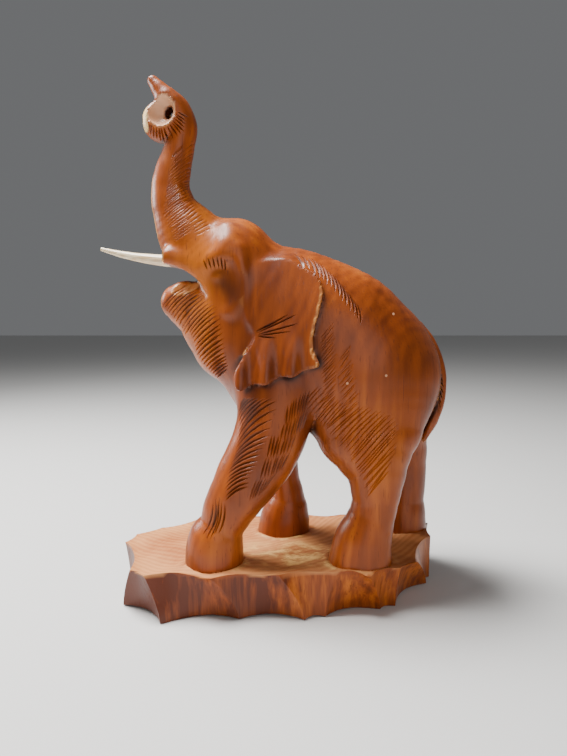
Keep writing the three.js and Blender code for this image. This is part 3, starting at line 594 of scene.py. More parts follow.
@dataclass
class Skin:
    """Lays a closed skin of four-sided faces over a form.

    Only a band near the surface is sampled at the fine pitch, in `parts` to save memory.
    """

    low: Sequence[float]
    high: Sequence[float]
    pitch: float
    coarse: int = 4
    band: float = 1.8
    parts: int = 12
    rounds: int = 12
    filled: float = -0.05
    on_surface: float = -1e-6
    edge_span: Pair = (0.02, 0.98)

    def values(self, form: Distance) -> Array:
        """Samples the form on the lattice, finely only near its surface.

        Args:
            form: Distances of points, negative inside.

        Returns:
            The distances on the whole lattice.
        """
        step = self.pitch * self.coarse
        count = [int(math.ceil((h - l) / step)) for l, h in zip(self.low, self.high)]
        axes = [l + step * np.arange(n + 1) for l, n in zip(self.low, count)]
        rough = form(np.stack(np.meshgrid(*axes, indexing="ij"), -1).reshape(-1, 3))
        rough = rough.reshape([n + 1 for n in count])
        size = [n * self.coarse + 1 for n in count]
        index = [np.minimum(np.arange(s) // self.coarse, n - 1) for s, n in zip(size, count)]
        corners = np.stack([rough[i:i + count[0], j:j + count[1], k:k + count[2]]
                            for i in (0, 1) for j in (0, 1) for k in (0, 1)])
        close = np.abs(corners).min(axis=0) < self.band * step
        band = close | (corners.min(axis=0) * corners.max(axis=0) < 0)
        grown = band.copy()
        for axis in range(3):
            grown |= np.roll(band, 1, axis) | np.roll(band, -1, axis)
        pick = np.ix_(*index)
        value = np.where(corners[0] < 0, -FAR, FAR)[pick].astype(float)
        near = grown[pick]
        places = np.argwhere(near)
        points = np.asarray(self.low, float) + self.pitch * places
        found = np.concatenate([form(part) for part in np.array_split(points, self.parts)])
        found[found == 0] = self.on_surface
        value[near] = found
        return value

    def untangle(self, value: Array) -> None:
        """Fills lattice squares and cubes whose inside corners meet only across a diagonal, so that the
        skin never touches itself at an edge.

        Args:
            value: The distances on the lattice, changed in place.
        """
        for _ in range(self.rounds):
            wet = value < 0
            flips = np.zeros_like(wet)
            for axes in ((0, 1), (0, 2), (1, 2)):
                parts = []
                for shift in ((0, 0), (0, 1), (1, 0), (1, 1)):
                    cut = [slice(None)] * 3
                    for axis, s in zip(axes, shift):
                        cut[axis] = slice(s, value.shape[axis] - 1 + s)
                    parts.append((tuple(cut), wet[tuple(cut)]))
                (c00, w00), (c01, w01), (c10, w10), (c11, w11) = parts
                crossed = (w00 & w11 & ~w01 & ~w10) | (~w00 & ~w11 & w01 & w10)
                for cut, w in parts:
                    flips[cut] |= crossed & ~w
            eight = {}
            for i in (0, 1):
                for j in (0, 1):
                    for k in (0, 1):
                        cut = tuple(slice(s, n - 1 + s) for s, n in zip((i, j, k), value.shape))
                        eight[i, j, k] = (cut, wet[cut])
            total = sum(w.astype(np.int8) for _, w in eight.values())
            for (i, j, k), (cut, w) in eight.items():
                opposite = eight[1 - i, 1 - j, 1 - k][1]
                lone_pair = (total == 2) & w & opposite
                lone_gap = (total == 6) & ~w & ~opposite
                flips[cut] |= lone_gap
                for other_cut, other in eight.values():
                    flips[other_cut] |= lone_pair & ~other
            if not flips.any():
                return
            value[flips] = self.filled

    def lay(self, form: Distance) -> tuple[Array, Array]:
        """Makes the skin.

        Args:
            form: Distances of points, negative inside.

        Returns:
            Its points and its faces.
        """
        value = self.values(form)
        self.untangle(value)
        wet = value < 0
        shape = np.array(value.shape)
        cells = tuple(shape - 1)
        total = np.zeros(cells)
        place = np.zeros(cells + (3,))
        grid = np.stack(np.meshgrid(*[np.arange(n) for n in shape], indexing="ij"), -1).astype(float)
        edges = []
        for axis in range(3):
            lower = tuple(slice(0, n - 1) if a == axis else slice(None) for a, n in enumerate(shape))
            upper = tuple(slice(1, n) if a == axis else slice(None) for a, n in enumerate(shape))
            crossing = np.argwhere(wet[lower] != wet[upper])
            a = value[tuple(crossing.T)]
            step = np.zeros(3, int)
            step[axis] = 1
            b = value[tuple((crossing + step).T)]
            t = np.clip(a / (a - b), *self.edge_span)
            at = grid[tuple(crossing.T)] + step * t[:, None]
            others = [o for o in range(3) if o != axis]
            around = []
            for i, j in ((-1, -1), (0, -1), (0, 0), (-1, 0)):
                cell = crossing.copy()
                cell[:, others[0]] += i
                cell[:, others[1]] += j
                around.append(cell)
                np.add.at(total, tuple(cell.T), 1)
                np.add.at(place, tuple(cell.T), at)
            edges.append((axis, around, a < 0))
        used = total > 0
        number = np.full(cells, -1)
        number[used] = np.arange(used.sum())
        points = np.asarray(self.low, float) + self.pitch * place[used] / total[used][:, None]
        faces = []
        for axis, around, leaving in edges:
            quad = np.stack([number[tuple(cell.T)] for cell in around], axis=1)
            flip = leaving if axis == 1 else ~leaving
            quad[flip] = quad[flip][:, ::-1]
            faces.append(quad)
        return points, np.concatenate(faces)


def settle(points: Array, form: Figure, pitch: float, rounds: int = 2) -> Array:
    """Moves the skin's points onto the form itself.

    Args:
        points: The skin's points.
        form: The form that they belong on.
        pitch: The lattice's pitch, which limits each move.
        rounds: How often to repeat it.

    Returns:
        The moved points.
    """
    for _ in range(rounds):
        slope = form.slope(points)
        steep = np.maximum((slope ** 2).sum(axis=1), 0.2)
        push = np.clip(-form(points) / steep, -pitch / 2, pitch / 2)
        points = points + push[:, None] * slope
    return points


def outer_shell(points: Array, faces: Array) -> tuple[Array, Array]:
    """Keeps the largest connected shell of a mesh of faces with like counts of corners.

    Args:
        points: The mesh's points.
        faces: Its faces.

    Returns:
        The points and faces of that shell.
    """
    label = np.arange(len(points))
    while True:
        before = label.copy()
        low = label[faces].min(axis=1)
        for column in faces.T:
            np.minimum.at(label, column, low)
        label = label[label]
        if np.array_equal(before, label):
            break
    names, counts = np.unique(label[faces[:, 0]], return_counts=True)
    kept = faces[label[faces[:, 0]] == names[counts.argmax()]]
    used = np.unique(kept)
    number = np.full(len(points), -1)
    number[used] = np.arange(len(used))
    return points[used], number[kept]


@dataclass
class HewnBase:
    """The base, hewn with a broad gouge: hollow cuts meet in ridges that lean as they run down its side.

    Each ridge is (rim x, rim y, foot x, foot y) in shares of half the base's length and depth. The feet
    reach (front, back, near, far). The dressed top rolls in broad and fine waves.
    """

    legs: Legs
    feet_reach: Quad = (-78.5, 132.5, -61.0, 64.5)
    broad_roll: float = 1.3
    fine_roll: float = 0.8
    rim_share: float = 0.97
    rim_lift: float = 0.8
    collar: float = 1.2
    collar_gap: float = 1.5
    collar_fall: float = 12.0
    thickness: float = 36.0
    ledge_ahead: float = 59.0
    ledge_behind: float = 3.0
    ledge_beside: float = 11.0
    foot_lift: float = 1.8
    undercut: float = 3.0
    hollow_rim: float = 0.09
    hollow_foot: float = 0.14
    flats: int = 8
    levels: int = 10
    rings: int = 26
    ridges: Rows = (
        (-1.0, 0.02, -0.955, -0.06), (-0.86, -0.79, -0.93, -0.6), (-0.77, -0.9, -0.67, -1.0),
        (-0.395, -0.97, -0.24, -0.9), (-0.02, -0.93, 0.125, -0.92), (0.31, -0.83, 0.24, -0.85),
        (0.48, -0.93, 0.565, -0.69), (0.68, -0.69, 0.66, -0.62), (0.785, -0.54, 0.91, -0.07),
        (0.965, 0.19, 0.95, 0.11), (1.0, 0.6, 0.97, 0.56), (0.86, 0.9, 0.84, 0.9), (0.64, 0.9, 0.67, 0.84),
        (0.42, 1.0, 0.39, 0.96), (0.17, 0.93, 0.2, 0.87), (-0.09, 0.92, -0.12, 0.86),
        (-0.34, 0.87, -0.31, 0.83),
        (-0.6, 0.76, -0.63, 0.72), (-0.82, 0.53, -0.79, 0.5), (-0.96, 0.28, -0.93, 0.27))

    def __post_init__(self) -> None:
        """Works out the plan from where the feet stand."""
        front, back, near, far = self.feet_reach
        front, back = front - self.ledge_ahead, back + self.ledge_behind
        near, far = near - self.ledge_beside, far + self.ledge_beside
        self.middle = np.array([(front + back) / 2, (near + far) / 2])
        self.half = np.array([(back - front) / 2, (far - near) / 2])

    def top(self, x: Array, y: Array, share: float) -> Array:
        """Returns the height of the dressed top.

        Args:
            x: Where the points are along the base.
            y: Where they are across it.
            share: How far out they are, from 0 in the middle to 1 at the rim.

        Returns:
            The heights above the ground.
        """
        broad = self.broad_roll * np.sin(x / 17 + 1.3) * np.cos(y / 14 - 0.4)
        roll = broad + self.fine_roll * np.sin(x / 7.3 - y / 9.1)
        height = self.thickness + roll + (self.rim_lift if share > self.rim_share else 0.0) - self.collar
        for far in self.legs.away(x, y, self.collar_gap):
            height = height + self.collar * np.exp(-(far * self.collar_fall) ** 2)
        return height

    def ring(self, level: int) -> Array:
        """Returns one ring of points round the side.

        Args:
            level: 0 at the foot, up to `levels` at the rim.

        Returns:
            The points.
        """
        t = level / self.levels
        lean = t ** 1.5
        table = np.asarray(self.ridges, float)
        at = self.middle + self.half * (table[:, 2:] + (table[:, :2] - table[:, 2:]) * lean)
        nxt = np.roll(at, -1, axis=0)
        along = nxt - at
        width = np.linalg.norm(along, axis=1)
        inward = np.stack([-along[:, 1], along[:, 0]], axis=1) / width[:, None]
        sag = width * mix(self.hollow_foot, self.hollow_rim, t)
        rows = []
        for k in range(self.flats):
            s = k / self.flats
            bow = 4 * s * (1 - s)
            xy = at + along * s + inward * (sag * bow)[:, None]
            if level == self.levels:
                z = self.top(xy[:, 0], xy[:, 1], 1.0)
            else:
                z = np.full(len(xy), mix(self.foot_lift * (0.4 + 0.6 * bow), self.thickness, t))
            rows.append(np.column_stack([xy, z]))
        return np.stack(rows, axis=1).reshape(-1, 3)

    def mesh(self) -> tuple[Array, Faces]:
        """Returns the base's points and faces.

        Returns:
            The points, in squares from the ground, and the faces.
        """
        edge = self.ring(0)
        out = edge[:, :2] - self.middle
        seat = self.middle + out * (1 - self.undercut / np.linalg.norm(out, axis=1))[:, None]
        rings = [np.column_stack([seat, np.zeros(len(seat))])]
        rings += [self.ring(level) for level in range(self.levels + 1)]
        rim = rings[-1]
        for i in range(1, self.rings):
            share = 1 - i / self.rings
            xy = self.middle + (rim[:, :2] - self.middle) * share
            rings.append(np.column_stack([xy, self.top(xy[:, 0], xy[:, 1], share)]))
        around = len(rim)
        faces = []
        for ring in range(len(rings) - 1):
            for i in range(around):
                j = (i + 1) % around
                a, b = ring * around, (ring + 1) * around
                faces.append([a + i, a + j, b + j, b + i])
        centre_top = self.top(*[np.array([c]) for c in self.middle], 0.0)[0]
        points = np.vstack(rings + [[[*self.middle, 0.0]], [[*self.middle, centre_top]]])
        under, over = len(points) - 2, len(points) - 1
        last = (len(rings) - 1) * around
        for i in range(around):
            j = (i + 1) % around
            faces.append([under, j, i])
            faces.append([over, last + i, last + j])
        return points, faces


@dataclass
class Hatching:
    """A row of gouge strokes, each from the line of heads to the line of tails, seen from the side."""

    place: str
    sides: Sequence[int]
    count: int
    width: float
    depth: float
    heads: Rows
    tails: Rows
    bow: float = 0.0
    waver: float = 0.0
    stations: int = 7
    spread: float = 0.08

    def strokes(self, chance: np.random.Generator) -> list[tuple[Array, int, float, float]]:
        """Lays out the strokes.

        Args:
            chance: Where small differences between strokes come from.

        Returns:
            For each stroke its (x, z) stations, side, width and depth.
        """
        start = spline(np.asarray(self.heads, float), self.count)
        end = spline(np.asarray(self.tails, float), self.count)
        t = np.linspace(0, 1, self.stations)[:, None]
        rows = []
        for side in self.sides:
            for a, b in zip(start, end):
                nudge = chance.normal(0, self.waver, 4)
                a2, b2 = a + nudge[:2], b + nudge[2:]
                across = np.array([-(b2 - a2)[1], (b2 - a2)[0]])
                path = a2 + (b2 - a2) * t + across * self.bow * 4 * t * (1 - t)
                size = 1 + chance.normal(0, self.spread)
                rows.append((path, side, self.width * size, self.depth * size))
        return rows


HATCHINGS = (
    Hatching("throat", (-1, 1), 27, 2.7, 1.5,
             ((-77, 220), (-66, 215), (-57, 207), (-50, 196), (-47, 180), (-45, 164), (-44, 153)),
             ((-99, 202), (-91, 194), (-82, 182), (-77, 171), (-73, 157), (-65, 148), (-56, 142)),
             bow=-0.06, waver=0.2),
    Hatching("nape", (-1, 1), 15, 2.4, 1.2,
             ((8, 243), (22, 239), (31, 233), (39, 225), (47, 215), (55, 204)),
             ((17, 229), (27, 224), (35, 217), (43, 208), (51, 198), (58, 188)), bow=0.1, waver=0.3),
    Hatching("front of the left foreleg", (-1,), 21, 2.9, 1.4,
             ((-29, 132), (-19, 132), (-6, 132), (-8, 113), (-14, 98), (-20, 85), (-25, 76), (-27, 66)),
             ((-34, 124), (-35, 113), (-35, 102), (-37, 91), (-40, 81), (-43, 73), (-44, 64), (-44, 55)),
             bow=-0.1, waver=0.2),
    Hatching("back of the left foreleg, first tier", (-1,), 8, 2.2, 1.0,
             ((4, 128), (12, 135), (20, 139)), ((2, 112), (9, 117), (16, 121)), waver=0.3),
    Hatching("back of the left foreleg, second tier", (-1,), 8, 2.2, 1.0,
             ((1, 114), (11, 119), (19, 124)), ((-2, 101), (7, 102), (14, 107)), waver=0.3),
    Hatching("back of the left foreleg, third tier", (-1,), 8, 2.2, 1.0,
             ((-9, 105), (0, 104), (10, 105)), ((-12, 88), (-4, 89), (5, 91)), waver=0.3),
    Hatching("back of the left foreleg, fourth tier", (-1,), 8, 2.2, 1.0,
             ((-13, 88), (-4, 90), (5, 92)), ((-17, 72), (-9, 73), (-2, 77)), waver=0.3),
    Hatching("back of the left foreleg, last tier", (-1,), 7, 2.1, 0.9,
             ((-20, 72), (-13, 73), (-5, 76)), ((-26, 55), (-20, 57), (-15, 61)), waver=0.3),
    Hatching("torn grain at the left ankle", (-1,), 6, 2.4, 1.3,
             ((-54, 53), (-49, 55), (-44, 52)), ((-62, 27), (-57, 25), (-51, 28)), bow=0.08, waver=1.0),
    Hatching("front of the right foreleg", (1,), 16, 2.6, 1.2,
             ((-4, 112), (2, 96), (2, 80), (4, 60)), ((-19, 104), (-14, 88), (-11, 70), (-8, 52)),
             bow=-0.12, waver=0.3),
    Hatching("ear root", (-1, 1), 6, 2.2, 1.4,
             ((-21, 183), (-20, 182), (-20, 180), (-20, 179)),
             ((-6, 190), (9, 197), (11, 187), (-6, 178))),
    Hatching("side of the trunk", (-1, 1), 32, 1.4, 0.45,
             ((-78, 330), (-77, 306), (-76, 284), (-70, 262)),
             ((-88, 318), (-93, 292), (-93, 270), (-86, 252)), waver=0.4),
    Hatching("back of the trunk", (-1, 1), 24, 1.4, 0.45,
             ((-71, 332), (-74, 306), (-70, 284), (-56, 264)),
             ((-79, 322), (-83, 296), (-80, 274), (-68, 256)), waver=0.4),
    Hatching("collar of the curl", (-1, 1), 15, 2.0, 1.1,
             ((-83, 353), (-87, 345), (-96, 341), (-105, 345)),
             ((-75, 349), (-79, 337), (-96, 332.5), (-108, 338)),
             waver=0.3),
    Hatching("lashes", (-1, 1), 6, 1.5, 0.9,
             ((-62, 238), (-56, 240), (-50, 240), (-45, 238)),
             ((-59, 230), (-54, 231), (-49, 231), (-45, 229))),
    Hatching("flank behind the ear", (-1, 1), 24, 1.5, 0.5,
             ((38, 190), (39, 173), (40, 154), (40, 135)),
             ((27, 178), (28, 161), (29, 142), (30, 123)), waver=0.5),
    Hatching("middle of the flank", (-1, 1), 18, 1.4, 0.45,
             ((50, 173), (52, 156), (55, 139), (58, 127)),
             ((40, 161), (42, 144), (44, 127), (46, 115)), waver=0.7),
    Hatching("belly in front", (-1, 1), 11, 1.6, 0.6,
             ((28, 142), (40, 134), (50, 128)), ((13, 123), (24, 114), (33, 107)), bow=-0.03, waver=0.5),
    Hatching("belly and haunch", (-1, 1), 24, 1.8, 0.7,
             ((52, 127), (62, 127), (73, 124), (82, 121), (88, 114), (88, 103), (85, 91), (81, 80)),
             ((32, 108), (38, 101), (45, 94), (51, 86), (55, 78), (59, 71), (62, 63), (64, 54)),
             bow=-0.03, waver=0.6),
    Hatching("tail", (-1, 1), 14, 1.6, 0.8,
             ((117, 178), (126, 158), (130, 138), (129, 118)),
             ((122, 172), (130, 152), (133, 132), (131, 112)),
             waver=0.3),
)


class Gouge:
    """Cuts V strokes into the skin."""

    rise = 0.7
    longest_step = 9.0
    fewest_stations = 4
    seed = 11
    lift = 0.12
    run_out = 0.5
    fullness = 0.6

    def __init__(self, figure: Figure) -> None:
        """Keeps the form that the strokes follow."""
        self.figure = figure
        self.chance = np.random.default_rng(self.seed)

    def cutters(self, rows: Iterable[Hatching]) -> list[tuple[Array, Faces]]:
        """Makes one closed wedge for each stroke, up to where the surface falls away under it.

        Args:
            rows: The rows of strokes.

        Returns:
            The points and faces of each wedge.
        """
        strokes = [s for row in rows for s in row.strokes(self.chance)]
        path = np.concatenate([s[0] for s in strokes])
        side = np.concatenate([np.full(len(s[0]), float(s[1])) for s in strokes])
        on = self.figure.surface(path[:, 0], path[:, 1], side)
        normal = self.figure.normal(on)
        wedges = []
        at = 0
        for line, _, width, depth in strokes:
            steps = np.linalg.norm(np.diff(on[at:at + len(line)], axis=0), axis=1)
            leaps = np.flatnonzero(steps > self.longest_step)
            run = int(leaps[0]) + 1 if len(leaps) else len(line)
            if run >= self.fewest_stations:
                wedges.append(self.wedge(on[at:at + run], normal[at:at + run], width, depth))
            at += len(line)
        return wedges

    def wedge(self, on: Array, normal: Array, width: float, depth: float) -> tuple[Array, Faces]:
        """Makes the wedge that one stroke takes out, running out at both ends.

        Args:
            on: Points of the surface along the stroke.
            normal: The directions out of the wood there.
            width: The stroke's full width at the surface.
            depth: How deep it goes in the middle.

        Returns:
            The wedge's points and faces.
        """
        n = len(on)
        along = np.gradient(on, axis=0)
        along /= np.linalg.norm(along, axis=1, keepdims=True)
        across = np.cross(normal, along)
        across /= np.linalg.norm(across, axis=1, keepdims=True)
        t = np.linspace(0, 1, n)
        swell = np.clip(np.sin(math.pi * t), 0, 1) ** self.fullness
        points = [on[0] + normal[0] * self.lift - along[0] * width * self.run_out]
        for i in range(1, n - 1):
            deep = depth * swell[i]
            spread = width / 2 * swell[i] * (1 + self.rise / deep)
            points.append(on[i] + normal[i] * self.rise + across[i] * spread)
            points.append(on[i] + normal[i] * self.rise - across[i] * spread)
            points.append(on[i] - normal[i] * deep)
        points.append(on[-1] + normal[-1] * self.lift + along[-1] * width * self.run_out)
        last = len(points) - 1
        faces = [[0, 2, 1], [0, 3, 2], [0, 1, 3]]
        end = last - 3
        faces += [[last, end, end + 1], [last, end + 1, end + 2], [last, end + 2, end]]
        for i in range(n - 3):
            a = 1 + 3 * i
            for p, q in ((0, 1), (1, 2), (2, 0)):
                faces.append([a + p, a + q, a + q + 3, a + p + 3])
        return np.array(points), faces


class Mesh:
    """Small helpers that turn arrays into Blender meshes and join or cut them."""

    @staticmethod
    def piece(name: str, points: Array, faces: Iterable[Sequence[int]]) -> Object:
        """Makes an object from points in metres.

        Args:
            name: The object's name.
            points: Its points.
            faces: Its faces.

        Returns:
            The object, linked into the scene.
        """
        data = bpy.data.meshes.new(name)
        data.from_pydata(np.asarray(points, float).tolist(), [], [list(map(int, f)) for f in faces])
        data.update()
        made = bpy.data.objects.new(name, data)
        bpy.context.scene.collection.objects.link(made)
        return made

    @staticmethod
    def combine(target: Object, tool: Object, operation: str) -> None:
        """Joins a tool to the target or cuts it out, and removes the tool.

        Args:
            target: The object that changes.
            tool: The object that is used up.
            operation: "UNION" or "DIFFERENCE".
        """
        step = target.modifiers.new("cut", "BOOLEAN")
        step.object = tool
        step.operation = operation
        step.solver = "MANIFOLD"
        graph = bpy.context.evaluated_depsgraph_get()
        result = bpy.data.meshes.new_from_object(target.evaluated_get(graph))
        target.modifiers.clear()
        before = target.data
        target.data = result
        bpy.data.meshes.remove(before)
        spent = tool.data
        bpy.data.objects.remove(tool)
        bpy.data.meshes.remove(spent)

    @staticmethod
    def read(made: Object) -> tuple[Array, Array]:
        """Returns an object's points and the corners of its triangles.

        Args:
            made: The object.

        Returns:
            The points in metres and the triangles' corners.
        """
        data = made.data
        points = np.empty(len(data.vertices) * 3)
        data.vertices.foreach_get("co", points)
        data.calc_loop_triangles()
        corners = np.empty(len(data.loop_triangles) * 3, np.int32)
        data.loop_triangles.foreach_get("vertices", corners)
        return points.reshape(-1, 3), corners.reshape(-1, 3)

    @staticmethod
    def tint(made: Object, name: str, values: Array) -> None:
        """Stores one number for each point, for the finish to read."""
        layer = made.data.attributes.new(name, "FLOAT", "POINT")
        layer.data.foreach_set("value", np.asarray(values, np.float32))

    @staticmethod
    def point_normals(points: Array, corners: Array) -> Array:
        """Returns the direction out of the mesh at each point.

        Args:
            points: The mesh's points.
            corners: The corners of its triangles.

        Returns:
            One direction for each point.
        """
        a, b, c = (points[corners[:, i]] for i in range(3))
        face = np.cross(b - a, c - a)
        total = np.zeros_like(points)
        for column in corners.T:
            np.add.at(total, column, face)
        return total / np.maximum(np.linalg.norm(total, axis=1, keepdims=True), 1e-15)

    @staticmethod
    def soften(made: Object, angle: float) -> None:
        """Shades an object smooth except across edges sharper than the angle, in degrees."""
        made.data.shade_smooth()
        made.data.set_sharp_from_angle(angle=math.radians(angle))


Wire = Union["Value", float, int]


class Value:
    """A number that varies over a surface, with the usual operators."""

    def __init__(self, shader: "Shader", socket: NodeSocket) -> None:
        """Wraps a socket of a shader."""
        self.shader = shader
        self.socket = socket

    def _math(self, operation: str, a: Wire, b: Wire = 0.0, clamp: bool = False) -> "Value":
        """Adds one Math node.

        Args:
            operation: The node's operation.
            a: The first value.
            b: The second value.
            clamp: Whether to keep the result between 0 and 1.

        Returns:
            The node's result.
        """
        settings = {"operation": operation, "use_clamp": clamp}
        made = self.shader.node("ShaderNodeMath", settings, {0: a, 1: b})
        return Value(self.shader, made.outputs[0])

    def __add__(self, other: Wire) -> "Value":
        """Adds."""
        return self._math("ADD", self, other)

    def __radd__(self, other: Wire) -> "Value":
        """Adds from the left."""
        return self._math("ADD", other, self)

    def __sub__(self, other: Wire) -> "Value":
        """Subtracts."""
        return self._math("SUBTRACT", self, other)

    def __rsub__(self, other: Wire) -> "Value":
        """Subtracts from a number."""
        return self._math("SUBTRACT", other, self)

    def __mul__(self, other: Wire) -> "Value":
        """Multiplies."""
        return self._math("MULTIPLY", self, other)

    def __rmul__(self, other: Wire) -> "Value":
        """Multiplies from the left."""
        return self._math("MULTIPLY", other, self)

    def __pow__(self, other: Wire) -> "Value":
        """Raises to a power."""
        return self._math("POWER", self, other)

    def __rpow__(self, other: Wire) -> "Value":
        """Raises a number to this power."""
        return self._math("POWER", other, self)

    def sine(self) -> "Value":
        """Takes the sine."""
        return self._math("SINE", self)

    def clamped(self) -> "Value":
        """Keeps the number between 0 and 1."""
        return self._math("ADD", self, 0.0, clamp=True)

    def smooth(self, low: float, high: float) -> "Value":
        """Rises smoothly from 0 at low to 1 at high.

        Args:
            low: Where the rise starts.
            high: Where it ends.

        Returns:
            The number from 0 to 1.
        """
        made = self.shader.node("ShaderNodeMapRange", {"interpolation_type": "SMOOTHSTEP"},
                                {"Value": self, "From Min": low, "From Max": high})
        return Value(self.shader, made.outputs[0])


class Shader:
    """Builds one node material. Colours are sockets 6 and 7 of a Mix node, whose result is output 2."""

    mix_sockets = (0, 6, 7)
    mix_result = 2

    def __init__(self, name: str) -> None:
        """Starts a material with an empty tree.

        Args:
            name: The material's name.
        """
        self.material = bpy.data.materials.new(name)
        self.material.use_nodes = True
        self.tree = self.material.node_tree
        self.tree.nodes.clear()
        self.surface = self.node("ShaderNodeBsdfPrincipled")
        out = self.node("ShaderNodeOutputMaterial")
        self.tree.links.new(self.surface.outputs["BSDF"], out.inputs["Surface"])

    def node(self, kind: str, settings: Union[dict, None] = None,
             inputs: Union[dict, None] = None) -> Node:
        """Adds a node.

        Args:
            kind: The node's type.
            settings: Its own settings; "stops" holds a ramp's (place, colour) pairs.
            inputs: Values or links of its sockets, by name or number.

        Returns:
            The node.
        """
        made = self.tree.nodes.new(kind)
        for key, setting in (settings or {}).items():
            if key == "stops":
                ramp = made.color_ramp
                while len(ramp.elements) < len(setting):
                    ramp.elements.new(0.5)
                for element, (place, colour) in zip(ramp.elements, setting):
                    element.position = place
                    element.color = (*colour, 1.0)
            else:
                setattr(made, key, setting)
        for key, given in (inputs or {}).items():
            self.join(made.inputs[key], given)
        return made

    def join(self, socket: NodeSocket, given: object) -> None:
        """Links a socket to a value or socket, or sets a plain number or colour on it.

        Args:
            socket: The socket that is fed.
            given: What feeds it.
        """
        if isinstance(given, Value):
            self.tree.links.new(given.socket, socket)
        elif isinstance(given, NodeSocket):
            self.tree.links.new(given, socket)
        else:
            socket.default_value = given

    def place(self, scale: Triple = (1, 1, 1),
              turn: Triple = (0, 0, 0)) -> NodeSocket:
        """Returns the object's own coordinates, scaled and turned.

        Args:
            scale: The scale along each axis.
            turn: The turn round each axis, in radians.

        Returns:
            The coordinates.
        """
        at = self.node("ShaderNodeTexCoord").outputs["Object"]
        made = self.node("ShaderNodeMapping", {}, {"Vector": at, "Scale": scale, "Rotation": turn})
        return made.outputs["Vector"]

    def noise(self, at: NodeSocket, scale: float, detail: float = 3.0, rough: float = 0.5,
              distortion: float = 0.0) -> Value:
        """Returns a noise from 0 to 1.

        Args:
            at: The coordinates.
            scale: How fine it is.
            detail: How many octaves it adds.
            rough: How strong the finer octaves are.
            distortion: How far it is warped.

        Returns:
            The noise.
        """
        made = self.node("ShaderNodeTexNoise", {"noise_dimensions": "3D"}, {
            "Vector": at, "Scale": scale, "Detail": detail, "Roughness": rough, "Distortion": distortion})
        return Value(self, made.outputs["Fac"])

    def tinted(self, name: str) -> Value:
        """Reads a number stored on the mesh."""
        made = self.node("ShaderNodeAttribute", {"attribute_name": name})
        return Value(self, made.outputs["Fac"])

    def ramp(self, amount: Value, stops: Sequence[tuple[float, Sequence[float]]]) -> NodeSocket:
        """Turns a number into a colour through a ramp."""
        return self.node("ShaderNodeValToRGB", {"stops": stops}, {"Fac": amount}).outputs["Color"]

    def mix(self, amount: Wire, a: object, b: object) -> NodeSocket:
        """Goes from colour a to colour b as the amount goes from 0 to 1.

        Args:
            amount: How much of b shows.
            a: The first colour.
            b: The second colour.

        Returns:
            The mixed colour.
        """
        a, b = ((*c, 1.0) if isinstance(c, tuple) else c for c in (a, b))
        inputs = dict(zip(self.mix_sockets, (amount, a, b)))
        return self.node("ShaderNodeMix", {"data_type": "RGBA"}, inputs).outputs[self.mix_result]

    def bump(self, height: Value, strength: float, distance: float,
             under: Union[NodeSocket, None] = None) -> NodeSocket:
        """Turns a height into a normal.

        Args:
            height: The height.
            strength: How strongly it shows.
            distance: How high 1 stands, in metres.
            under: A normal that it is laid over.

        Returns:
            The normal.
        """
        inputs = {"Height": height, "Strength": strength, "Distance": distance}
        if under is not None:
            inputs["Normal"] = under
        return self.node("ShaderNodeBump", {}, inputs).outputs["Normal"]

    def finish(self, **sockets: object) -> Material:
        """Sets the surface's sockets, with underscores for the spaces of their names.

        Args:
            sockets: What feeds each socket.

        Returns:
            The material.
        """
        for key, given in sockets.items():
            self.join(self.surface.inputs[key.replace("_", " ")], given)
        return self.material


